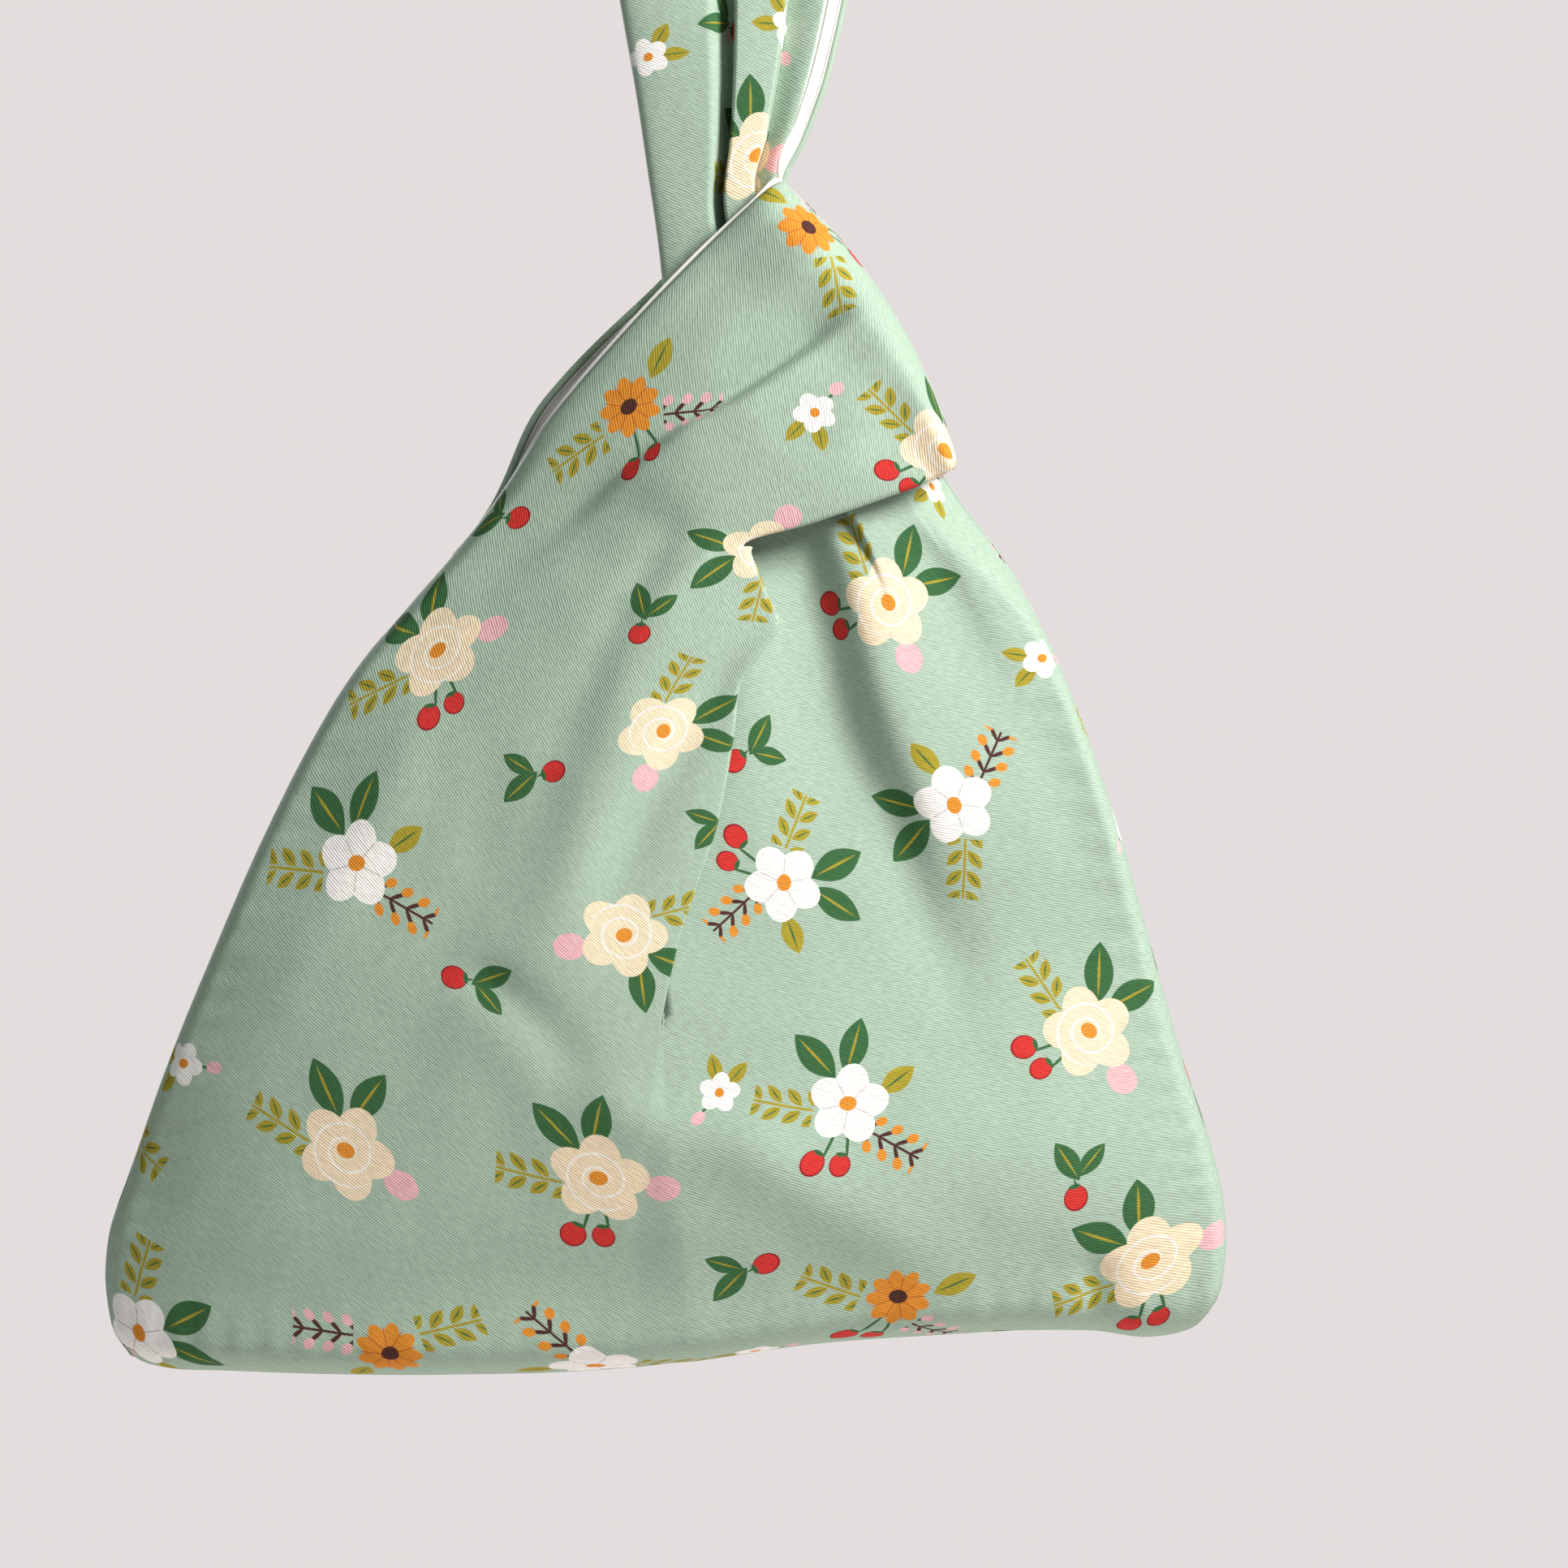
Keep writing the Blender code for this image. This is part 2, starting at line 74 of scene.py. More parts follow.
FOLD_BEGINS, FOLD_ENDS = (-0.15, 0.15), (1.15, 0.6)  # where a fold comes and goes, as shares of its length
FRONT_ROLL, BACK_ROLL = 0.5, 0.8  # radius of the pressed roll along the handles' edges
BACK_INSET = 0.9  # from the back's armhole edges in to its lining

TURN_REACH = 22.0  # distance over which one place's turn of the print gives way to the next one's
PRINT_EDGE = 0.2  # width over which one printed colour gives way to the next
FAR = 500.0  # out of every motif's reach

Array = np.ndarray
Columns = dict[str, Array]
Pair = tuple[float, float]
Triple = tuple[float, float, float]


class Side(Enum):
    """Which of the bag's two panels a piece belongs to."""

    FRONT = "front"
    BACK = "back"

    @property
    def facing(self) -> int:
        """-1 for the front, which faces along -Y, and 1 for the back."""
        return -1 if self is Side.FRONT else 1


class Half(Enum):
    """A part of a panel, from left to right."""

    LEFT = "left"
    TUCK = "tuck"
    RIGHT = "right"


def table(names: str, rows: list[tuple[float, ...]], rest: tuple[float, ...] = ()) -> Columns:
    """A table with named columns.

    Args:
        names: The columns' names, with spaces between them.
        rows: The table's rows. A shorter one takes the last values of rest.
        rest: Values for the last columns.

    Returns:
        Each column as an array, under its name.
    """
    count = len(names.split())
    whole = [(*row, *rest[len(rest) + len(row) - count :]) for row in rows]
    return dict(zip(names.split(), np.array(whole, float).T))


# The left half of a panel, from its bottom seam up into the short handle. edge is the side seam and then the
# armhole edge, and lip is the fold down the middle and then the neckline edge. The depths are towards the
# viewer, from the plane of the seams. bow carries a row's middle along the horn.
LEFT = table(
    "station edge_x edge_h lip_x lip_h edge_depth lip_drop bow",
    [
        (0, -134.5, 3, -24, 1.2, 1.7, 0, -0.5),
        (5, -138, 7, -24, 5.6),
        (12, -139.6, 13, -24, 12.2),
        (26, -139.5, 26, -23, 28),
        (50, -133.5, 47, -19.8, 52),
        (72, -125.5, 69.5, -16.4, 75),
        (96, -116, 92.5, -12, 97),
        (122, -104, 120, -3.8, 123),
        (140, -94.2, 139.5, -0.6, 141),
        (152, -86.8, 152, 1.2, 153),
        (160, -81, 160, 5.6, 159.6),
        (167, -75.2, 166.6, 9, 165.4),
        (174, -69.4, 173.4, 6.4, 171.4, 1.7, 0.2, 0),
        (180, -64, 179.5, 4.2, 176.5, 1.7, 0.3, 0),
        (190, -53.4, 192.2, 2, 182, 6.4, 0.6, 0),
        (206, -41, 209.5, 17, 187, 14.5, 0.9, 0),
        (222, -26.4, 226.4, 31.5, 192, 18.6, 1, 1),
        (240, -9, 244.5, 42.5, 196.2, 20.6, 1, 3),
        (252, 3.5, 256.8, 47.4, 198.8, 19.8, 1.2, 4.5),
        (262, 10.9, 263.4, 49, 201.2, 18.6, 1.5, 5.5),
    ],
    rest=(TURNING, 0, 0),
)

# The left half's two facets. The outer one rises from start, at the edge, to crown, which is ridge in from
# the edge. The inner one, the flap, goes back from there by fall. soft is the ridge's roundness, and bulge is
# how much the outer facet is filled out.
LEFT_FACETS = table(
    "station start crown ridge fall soft bulge",
    [
        (0, 11, 38.5, 112, 0, 5.5, 5.5),
        (26, 10.5, 39.5, 114, 0, 5, 7),
        (50, 11.5, 38.5, 103, 0.02, 3, 5.6),
        (72, 15, 37.2, 84, 0.09, 1.7, 3.8),
        (96, 17, 36.8, 75, 0.12, 1.2, 2.6),
        (122, 16, 34.6, 71, 0.13, 1, 1.8),
        (140, 14.6, 32.8, 67, 0.13, 0.8, 1.3),
        (152, 13.6, 31.6, 61.5, 0.12, 0.6, 0.9),
        (160, 13, 30.8, 57.5, 0.1, 0.5, 0.7),
        (167, 12.2, 30, 53.5, 0.09, 0.4, 0.5),
        (174, 12, 29.2, 51, 0.09, 0.35, 0.3),
        (180, 12.4, 28.6, 51, 0.08, 0.35, 0),
        (190, 14.4, 28, 46, 0.03, 0.5, 0),
        (206, 17.6, 27.8, 31, 0, 1, 0),
        (222, 20.8, 27.6, 20, 0, 1.2, 0),
        (240, 22.6, 26.2, 11, 0, 1, 0),
        (262, 20, 22.4, 7, 0, 1, 0),
    ],
)

# The right half, from the bottom seam up into the long handle. near is the edge beside the middle fold and
# then the neckline edge, far is the side seam and then the armhole edge. groove and ply are the handle's two
# lengthwise pleats. fall is how steeply the cloth goes back from its near edge.
RIGHT = table(
    "station near_x near_h far_x far_h crown fall far_depth near_drop groove ply",
    [
        (0, -10, 2.4, 103, 10.2, 35, 0.1),
        (5, -10, 6.6, 107.3, 14.8, 35.1, 0.1),
        (12, -10, 13, 108.9, 21.5, 35.5, 0.11),
        (26, -10, 28.2, 108.9, 33, 36.6, 0.13),
        (50, -13.5, 52, 105.5, 51, 36.6, 0.15),
        (72, -14.4, 75, 99.5, 69.5, 34.4, 0.15),
        (96, -16, 97, 93, 92.5, 32.3, 0.14),
        (122, -11, 123, 84.8, 122, 28.8, 0.09),
        (148, -8, 150, 75, 150, 26, 0.08),
        (166, -6, 165, 67.3, 167, 24, 0.08, 1.8, 0, 0, 0),
        (180, -6, 175.5, 60, 180, 22.4, 0.08, 2.2, 0, 1, 0),
        (190, -5, 182, 51.8, 190.5, 21, 0.06, 2.8, 0.5, 3, 0.5),
        (200, -7.8, 190, 44.8, 200.5, 19.6, 0.05, 3.8, 1.2, 4.5, 1),
        (212, -10, 202, 35, 213.5, 17.2, 0.03, 6, 2, 6, 2.5),
        (230, -13.5, 219, 23, 232, 15.5, 0, 9, 2.6, 7, 5),
        (250, -15.2, 238, 12, 254, 15.5, 0, 12.6, 2.6, 7.5, 7),
        (262, -16.5, 250, 9.2, 265.5, 15.8, 0, 14.2, 2.6, 7.5, 7.5),
        (276, -18.5, 264, 13, 276, 16.4, 0, 14.2, 2.6, 7.5, 7.5),
        (292, -21, 281, 16.5, 288, 16.5, 0, 14.2, 2.6, 7.5, 7.5),
        (314, -25.3, 306, 20.5, 306, 16.3, 0, 14.2, 2.6, 7, 6.5),
        (342, -29, 336, 26, 336, 15.6, 0, 14, 2, 5.5, 2.8),
        (362, -30.5, 357, 29, 357, 14.6, 0, 13.4, 1, 1.2, 0.3),
        (376, -31, 370, 30, 370, 14.2, 0, 14.2, 0, 0, 0),
    ],
    rest=(TURNING, 0, 0, 0),
)

# The bottom seam, from corner to corner. A row's station is its place across the bag.
BOTTOM = table(
    "station h",
    [
        (-141, 7), (-138, 4.8), (-134.5, 3.3), (-130, 1.5), (-125, 0.7), (-113, 0.5), (-91, 0.1), (-60, 0.1),
        (-33, 0.6), (-10, 2.4), (17, 6.2), (44, 8.1), (68, 9.2), (80, 8.9), (92, 7.6), (99, 8.7), (103, 10.2),
        (107, 12.5), (110, 15),
    ],
)

# Folds, as seen from the front. Each runs from (x0, h0) to (x1, h1), bent sideways by bend in its middle.
# lift is towards the viewer. fine is the fold's half width at its start, and wide at its end. left and right
# are how much of it the two halves of the panel take.
FOLD_SHAPE = ("x0", "h0", "x1", "h1", "bend", "lift", "fine", "wide")
FOLD_COLUMNS = " ".join((*FOLD_SHAPE, "left", "right"))
FRONT_FOLDS = table(
    FOLD_COLUMNS,
    [
        (34, 120, 54, 78, 0, -1.2, 6, 9, 0, 1),
        (66, 160, 86, 100, 3, -0.8, 5, 9, 0, 1),
        (4, 172, 8, 112, 1, 0.9, 5, 10, 0, 1),
        (-14, 184, -52, 88, 4, -1.3, 4, 9, 1, 0),
        (-3, 184, -20, 168, -1, 0.8, 1.3, 2, 1, 0),
        (0, 156, -30, 98, 2, -1.8, 3.5, 7, 1, 0),
        (-22, 172, -96, 100, -6, -0.7, 7, 15, 1, 0),
        (-56, 90, -30, 62, -3, -1.7, 4, 7, 1, 1),
        (-30, 62, 20, 50, 3, 1.4, 6, 10, 1, 1),
        (0, 54, 58, 14, 0, 1.9, 8, 10, 1, 1),
        (-70, 140, -118, 60, -4, 0.9, 6, 12, 1, 0),
        (-52, 128, -88, 44, -4, -0.9, 6, 12, 1, 0),
        (79, 26, 80, 4, 0, -3, 4, 6, 0, 1),
        (-128, 34, -134, 60, 0, -1, 7, 9, 1, 0),
        (-110, 16, 92, 24, 0, -2.6, 13, 13, 1, 1),
        (12, 257, -16, 222, 3, -0.9, 3, 8, 1, 0),
        (24, 252, 4, 226, 2, 0.9, 3, 7, 1, 0),
        (38, 232, 24, 206, 2, 1, 4, 8, 1, 0),
        (46, 214, 28, 200, 1, -0.8, 3, 6, 1, 0),
    ],
)
BACK_FOLDS = table(
    FOLD_COLUMNS,
    [
        (30, 196, 58, 120, 4, 3, 5, 11, 0, 1),
        (42, 196, 80, 122, 4, -4, 5, 12, 0, 1),
        (2, 168, 6, 92, 3, 2.6, 7, 14, 0, 1),
        (-22, 166, -46, 92, 5, -3, 7, 15, 1, 0),
        (-10, 196, -70, 150, -4, 3, 5, 12, 1, 0),
        (-26, 176, -88, 96, 4, 2, 8, 15, 1, 0),
        (-20, 210, -72, 164, -4, -3, 6, 11, 1, 0),
        (-60, 66, -20, 52, 4, -2.2, 6, 9, 1, 1),
        (30, 52, 58, 44, -3, -1.8, 7, 10, 1, 1),
        (-110, 18, 92, 26, 0, -2.2, 13, 13, 1, 1),
        (24, 252, 4, 226, 2, -0.9, 3, 7, 1, 0),
    ],
)

# Creases, each from its lower end up. The cloth to the right of one, or below it, stands out over the cloth
# on the other side, by rise to either side, over a half width of soft. before and after are how far the cloth
# is off its smooth shape on the two sides.
CREASE_COLUMNS = "x h rise soft before after"
BAND_CREASE = table(
    CREASE_COLUMNS,
    [
        (-62, 162, 0, 8, 8, 24), (-46, 178, 0.7, 3, 8, 24), (-34, 188, 1.1, 1.8, 8, 24),
        (-25, 197, 1.6, 1.2, 8, 24), (-11, 208, 2.7, 0.9, 9, 24), (0, 213.4, 3.4, 0.8, 9, 24),
        (12, 221.6, 3.6, 0.8, 9, 24), (19, 226.8, 3.1, 1, 9, 24), (27, 233.7, 1.8, 2.5, 9, 24),
        (36, 240, 0, 6, 8, 24),
    ],
)
MAIN_VALLEY = table(
    CREASE_COLUMNS,
    [
        (60, 64, 0, 8, 16, 20), (53, 82, 0.6, 7, 18, 22), (47, 99, 1, 6, 19, 24), (42.5, 113, 1.7, 5, 20, 24),
        (38, 125, 3.2, 4.4, 22, 28), (32.5, 137, 4, 4.1, 22, 27), (28, 150, 4.4, 4, 21, 26),
        (23.2, 170, 4.5, 3.9, 20, 24), (18.5, 190, 4, 3.5, 18, 20), (14, 205, 3.2, 3.2, 15, 17),
    ],
)
SIDE_VALLEY = table(
    CREASE_COLUMNS,
    [
        (72, 128, 0, 8, 14, 16), (63, 150, 0.7, 4.6, 14, 18), (55, 165, 1.2, 3.6, 13, 18),
        (46, 180, 1.4, 3.2, 12, 17), (37, 196, 1.2, 3, 11, 14),
    ],
)
BACK_VALLEY = table(
    CREASE_COLUMNS,
    [
        (46, 96, 0, 8, 14, 16), (37, 122, 2, 5, 13, 15), (29, 150, 4, 4, 12, 13), (22, 172, 4.4, 3.6, 11, 12),
        (15, 200, 3.6, 3, 10, 11),
    ],
)

# How far the back's middle fold hangs to the right of the front's, and its long handle's armhole edge.
BACK_FOLD_SHIFT = table("station x", [(0, 0), (5, 0), (50, 24), (96, 16), (140, 6), (180, 0), (380, 0)])
BACK_STRAP_SHIFT = table("station x", [(0, 0), (210, 0), (262, 1.5), (292, 3.5), (335, 4), (376, 0)])

# How far the print is turned clockwise at some places of the two halves, in degrees, as seen from the front.
LEFT_TURNS = table(
    "x h turn",
    [
        (-110, 20, 0), (-60, 25, 0), (-20, 30, -4), (-90, 100, 2), (-50, 100, 8), (-15, 100, 4),
        (-60, 150, 22), (-33, 172, 37), (0, 172, 32), (-45, 200, 40), (0, 195, 44), (0, 240, 52),
        (37, 223, 57),
    ],
)
RIGHT_TURNS = table(
    "x h turn",
    [
        (0, 30, -12), (60, 20, -18), (95, 30, -20), (40, 80, -22), (85, 100, -26), (35, 120, -30),
        (60, 150, -28), (15, 160, -20), (40, 185, -15), (0, 215, -10), (0, 300, -10), (0, 370, -10),
    ],
)


def smooth(rows: Columns, name: str, at: Array, mirror: float = 1.0) -> Array:
    """A column of a table at any stations, along a cubic through its rows.

    Args:
        rows: The table.
        name: The column.
        at: The stations.
        mirror: What happens past the last row, where a horn goes on down the back. 1 is for a value that is
            the same there, and -1 for a depth, which has the other sign.

    Returns:
        The column's value at each station.
    """
    knots, values = rows["station"], rows[name]
    knots = np.append(knots, 2 * knots[-1] - knots[-2])
    values = np.append(values, mirror * values[-2])
    step = np.diff(knots)
    rise = np.diff(values) / step
    inner = (rise[1:] * step[:-1] + rise[:-1] * step[1:]) / (step[1:] + step[:-1])
    slope = np.concatenate([rise[:1], inner])
    i = np.clip(np.searchsorted(knots, at, side="right") - 1, 0, len(slope) - 2)
    t = (at - knots[i]) / step[i]
    return (
        (1 + 2 * t) * (1 - t) ** 2 * values[i]
        + t * (1 - t) ** 2 * step[i] * slope[i]
        + t * t * (3 - 2 * t) * values[i + 1]
        + t * t * (t - 1) * step[i] * slope[i + 1]
    )


def read(rows: Columns, names: str, at: Array, mirror: float = 1.0) -> list[Array]:
    """Some columns of a table at any stations. names has spaces between them."""
    return [smooth(rows, name, at, mirror) for name in names.split()]


def dome(distance: Array, reach: Array | float) -> Array:
    """0 at an edge and 1 from reach inwards, along a quarter circle."""
    t = np.clip(distance / reach, 0, 1)
    return np.sqrt(t * (2 - t))


def grows(at: Array, start: float, end: float) -> Array:
    """0 up to start and 1 from end on, with a soft way between. The end may be the lower of the two."""
    t = np.clip((at - start) / (end - start), 0, 1)
    return t * t * (3 - 2 * t)


def comes_and_goes(at: Array, comes: Pair, goes: Pair) -> Array:
    """1 between two soft ways up and down, each given by where it is 0 and where it is 1."""
    return grows(at, *comes) * grows(at, *goes)


def mix(first: Array, second: Array, share: Array) -> Array:
    """The first value where share is 0, the second where it is 1, and evenly between."""
    return first + (second - first) * share


def arch(t: Array) -> Array:
    """0 at 0 and at 1, and 1 half way."""
    return 4 * t * (1 - t)


def swell(t: Array) -> Array:
    """0 at 0 and at 1, and 1 a third of the way."""
    return 27 / 4 * t * (1 - t) ** 2


def lower_of(first: Array, second: Array, soft: Array) -> Array:
    """The lower of two values, rounded by soft where they meet."""
    return (first + second) / 2 - np.hypot((first - second) / 2, soft)


def bell(t: Array) -> Array:
    """1 at 0, falling softly to nothing about 2 away."""
    return np.exp(-t * t)


def unit(vectors: Array) -> Array:
    """The vectors, each made one long."""
    return vectors / np.maximum(np.linalg.norm(vectors, axis=-1, keepdims=True), 1e-12)


def fold_lift(folds: Columns, half: Half, x: Array, h: Array) -> Array:
    """How much the folds of a table bring the cloth forward.

    Args:
        folds: The table of folds.
        half: The half of the panel that the points are on.
        x: The points' places across the bag.
        h: Their heights.

    Returns:
        The lift at each point, in millimetres.
    """
    lift = np.zeros(np.shape(x))
    taken = folds[half.value] > 0
    for x0, h0, x1, h1, bend, height, fine, wide in zip(*(folds[name][taken] for name in FOLD_SHAPE)):
        length = math.hypot(x1 - x0, h1 - h0)
        along_x, along_h = (x1 - x0) / length, (h1 - h0) / length
        t = ((x - x0) * along_x + (h - h0) * along_h) / length
        within = np.clip(t, 0, 1)
        aside = (x - x0) * along_h - (h - h0) * along_x - bend * arch(within)
        ends = comes_and_goes(t, FOLD_BEGINS, FOLD_ENDS)
        lift += height * ends * bell(aside / mix(fine, wide, within))
    return lift


def crease_lift(crease: Columns, x: Array, h: Array) -> Array:
    """The depth that a crease adds at the points, in millimetres.

    Args:
        crease: The crease's table.
        x: The points' places across the bag.
        h: Their heights.

    Returns:
        The lift at each point.
    """
    first, last = (np.array([crease["x"][i], crease["h"][i]]) for i in (0, -1))
    along_x, along_h = (last - first) / np.linalg.norm(last - first)

    def spread(px: Array, ph: Array) -> tuple[Array, Array]:
        """Places along the straight line between the crease's ends, and to the right of it."""
        dx, dh = px - first[0], ph - first[1]
        return dx * along_x + dh * along_h, dx * along_h - dh * along_x

    places, offsets = spread(crease["x"], crease["h"])
    t, aside = spread(x, h)
    aside = aside - np.interp(t, places, offsets)
    rise, soft, before, after = (
        np.interp(t, places, crease[name]) for name in ("rise", "soft", "before", "after")
    )
    return rise * np.tanh(aside / soft) * bell(aside / np.where(aside < 0, before, after))


@dataclass(frozen=True)
class Drape:
    """The shape in which one panel hangs.

    A station is a row's place up the panel, and across is a point's share of the way along its row. Most
    pairs of numbers are the two places where something is still 0 and where it is 1.
    """

    side: Side
    folds: Columns
    left_creases: tuple[Columns, ...]
    right_creases: tuple[Columns, ...]
    wrinkle: float = 0.4  # height of the small uneven wrinkles
    wrinkle_size: float = 21.0
    finer: float = 2.3  # how much smaller the second layer of wrinkles is
    finer_share: float = 0.45
    layer_apart: float = 9.0  # in the noise, from one layer to the next
    side_apart: float = 70.0  # and from the front to the back
    pucker: float = 0.22
    pucker_pitch: float = 7.3
    puckers_end: Pair = (SEAM_TOP, SEAM_TOP - 20)
    bottom_inset: float = 7.0  # from the bottom seam to its puckers
    side_inset: float = 6.0

    left_horn: Pair = (160, 200)
    right_horn: Pair = (160, 220)
    folds_end: Pair = (214, 194)  # the right half's folds, up the long handle
    folds_fade: float = 26.0  # of the folds, beside a side seam
    folds_fade_share: float = 0.4  # and on the short handle, as a share of its width

    bottom_levels: Pair = (70, 0)  # the rows come to follow the bottom seam
    bottom_slope: float = 58.0  # height over which the body goes back a little to its bottom
    bottom_back: Pair = (0.08, 0.31)  # how much of its depth it loses there, at its left and at its right
    flatter: Pair = (-75, 0)  # across the bag, from the one share to the other

    bottom_round: float = 9.0  # roundings, each over a distance from an edge
    left_round: float = 4.5
    right_round: float = 4.0
    horn_round: float = 5.0
    horn_share: float = 0.45  # the long handle's, as a share of its width
    lip_round: float = 14.0
    near_round: float = 19.0

    right_bulge: float = 2.2  # how much the right half is filled out, and where
    bulge_at: float = 55.0
    bulge_reach: float = 45.0

    groove_comes: Pair = (0.42, 0.55)  # the long handle's two pleats, as shares of the way across it
    groove_goes: Pair = (0.57, 0.55)
    ply_comes: Pair = (0.80, 0.814)
    ply_round: float = 0.5  # how much of the second one is gone again at the handle's far edge

    # How the back panel differs from the front one.
    back_edge_rise: float = 5.5
    back_edge_rises: Pair = (184, 210)
    back_edge_falls: Pair = (260, 240)
    back_edge_way: Pair = (-0.72, 0.69)  # the way that its armhole edge stands out past the front's
    back_edge_forward: float = 0.6  # the share of its depth that the edge loses below the long handle
    back_forward_grows: Pair = (SEAM_TOP, SEAM_TOP + 14)
    back_forward_ends: Pair = (236, 214)
    back_lip_rise: float = 3.2  # at the open end of the short handle, so that its inside doesn't show
    back_lip_rises: Pair = (226, 240)
    back_lip_falls: Pair = (TURN_STATION, TURN_STATION - 7)

    def settle(self, station: Array, x: Array, h: Array, straight: Array) -> Array:
        """The heights of points whose rows follow the bottom seam. straight is the first row's height."""
        return h + (smooth(BOTTOM, "h", x) - straight) * grows(station, *self.bottom_levels)

    def puckers(self, station: Array, inward: Array, x: Array) -> Array:
        """The small puckers beside the side and bottom seams, in millimetres.

        Args:
            station: The points' stations.
            inward: Their distances from the side seam.
            x: Their places across the bag.

        Returns:
            The depth that they add.
        """
        turns = 2 * np.pi / self.pucker_pitch
        beside_bottom = np.sin(x * turns) * bell(station / self.bottom_inset - 1)
        beside_side = np.sin(station * turns) * bell(inward / self.side_inset - 1)
        return self.pucker * (beside_bottom + beside_side * grows(station, *self.puckers_end))

    def unevenness(self, x: Array, h: Array) -> Array:
        """The small wrinkles of cloth that has been folded and worn, in millimetres.

        Args:
            x: The points' places across the bag.
            h: Their heights.

        Returns:
            The depth that they add.
        """
        layer = 0.0 if self.side is Side.FRONT else self.side_apart
        values = []
        for a, b in np.stack([x, h], axis=-1).reshape(-1, 2) / self.wrinkle_size:
            finer = noise.noise(Vector((self.finer * a, self.finer * b, layer + self.layer_apart)))
            values.append(noise.noise(Vector((a, b, layer))) + self.finer_share * finer)
        return self.wrinkle * np.reshape(values, np.shape(x))

    def lift(self, half: Half, x: Array, h: Array) -> Array:
        """How much the folds and creases of one half bring the cloth forward, in millimetres."""
        creases = self.left_creases if half is Half.LEFT else self.right_creases
        return fold_lift(self.folds, half, x, h) + sum(crease_lift(crease, x, h) for crease in creases)

    def left_half(self, station: Array, across: Array) -> tuple[Array, ...]:
        """Points of the left half. across is 0 at the outer edge and 1 at the lip.

        Args:
            station: The points' stations.
            across: Their shares of the way across.

        Returns:
            The points' x, height and depth, in millimetres.
        """
        edge_x, edge_h, lip_x, lip_h, bow = read(LEFT, "edge_x edge_h lip_x lip_h bow", station)
        edge_depth, lip_drop = read(LEFT, "edge_depth lip_drop", station, -1)
        start, crown = read(LEFT_FACETS, "start crown", station, -1)
        ridge, fall, soft, bulge = read(LEFT_FACETS, "ridge fall soft bulge", station)
        width = np.hypot(lip_x - edge_x, lip_h - edge_h)
        bowed = bow * arch(across) / width
        x = mix(edge_x, lip_x, across) - bowed * (lip_h - edge_h)
        h = mix(edge_h, lip_h, across) + bowed * (lip_x - edge_x)
        h = self.settle(station, x, h, mix(LEFT["edge_h"][0], LEFT["lip_h"][0], across))
        horn = grows(station, *self.left_horn)
        inward = across * width
        facets = lower_of(mix(start, crown, inward / ridge), crown - fall * (inward - ridge), soft)
        facets = facets + bulge * swell(np.clip(inward / ridge, 0, 1))
        depth = mix(edge_depth, facets, dome(inward, mix(self.left_round, self.horn_round, horn)))
        depth = depth - lip_drop * (1 - dome((1 - across) * width, self.lip_round))
        lift = self.lift(Half.LEFT, x, h) + self.unevenness(x, h)
        taken = dome(inward, mix(self.folds_fade, self.folds_fade_share * width, horn))
        depth = depth + taken * lift + self.puckers(station, inward, x)
        whole = self.bottomed(station, x) * dome(TURN_STATION - station, TURN_ROUND)
        return x, h, mix(TURNING, depth, whole)

    def bottomed(self, station: Array, x: Array) -> Array:
        """The share of its depth that the body has near its bottom seam.

        Args:
            station: The points' stations.
            x: Their places across the bag.

        Returns:
            The share at each point, which is 0 at the seam.
        """
        back = mix(*self.bottom_back, grows(x, *self.flatter))
        lower = np.clip(1 - station / self.bottom_slope, 0, 1)
        return dome(station, self.bottom_round) * (1 - back * lower * lower)

    def pleats(self, across: Array, groove: Array, ply: Array) -> Array:
        """How far the long handle's two lengthwise pleats take the cloth back, in millimetres.

        Args:
            across: The points' shares of the way across.
            groove: The first pleat's depth at each point's station.
            ply: The second one's.

        Returns:
            The distance at each point.
        """
        grooved = comes_and_goes(across, self.groove_comes, self.groove_goes)
        rounded = 1 - self.ply_round * grows(across, self.ply_comes[0], 1)
        return groove * grooved + ply * grows(across, *self.ply_comes) * rounded

    def right_half(self, station: Array, across: Array) -> tuple[Array, ...]:
        """Points of the right half. across is 0 beside the middle fold and 1 at the far edge.

        Args:
            station: The points' stations.
            across: Their shares of the way across.

        Returns:
            The points' x, height and depth, in millimetres.
        """
        near_x, near_h, far_x, far_h, fall = read(RIGHT, "near_x near_h far_x far_h fall", station)
        crown, far_depth, near_drop = read(RIGHT, "crown far_depth near_drop", station, -1)
        pleats = self.pleats(across, *read(RIGHT, "groove ply", station, -1))
        width = np.hypot(far_x - near_x, far_h - near_h)
        x = mix(near_x, far_x, across)
        straight = mix(RIGHT["near_h"][0], RIGHT["far_h"][0], across)
        h = self.settle(station, x, mix(near_h, far_h, across), straight)
        horn = grows(station, *self.right_horn)
        inward, outward = across * width, (1 - across) * width
        rounded = dome(outward, mix(self.right_round, self.horn_share * width, horn)) ** (1 + horn)
        bulge = self.right_bulge * bell((station - self.bulge_at) / self.bulge_reach)
        facet = crown - fall * inward + bulge * arch(across)
        depth = mix(far_depth, facet, rounded) - near_drop * (1 - dome(inward, self.near_round)) - pleats
        lift = self.lift(Half.RIGHT, x, h) * grows(station, *self.folds_end) + self.unevenness(x, h)
        taken = dome(outward, mix(self.folds_fade, self.horn_share * width, horn))
        depth = depth + taken * lift + self.puckers(station, outward, x)
        whole = self.bottomed(station, x) * dome(TOP_STATION - station, TOP_ROUND)
        return x, h, mix(TURNING, depth, whole)

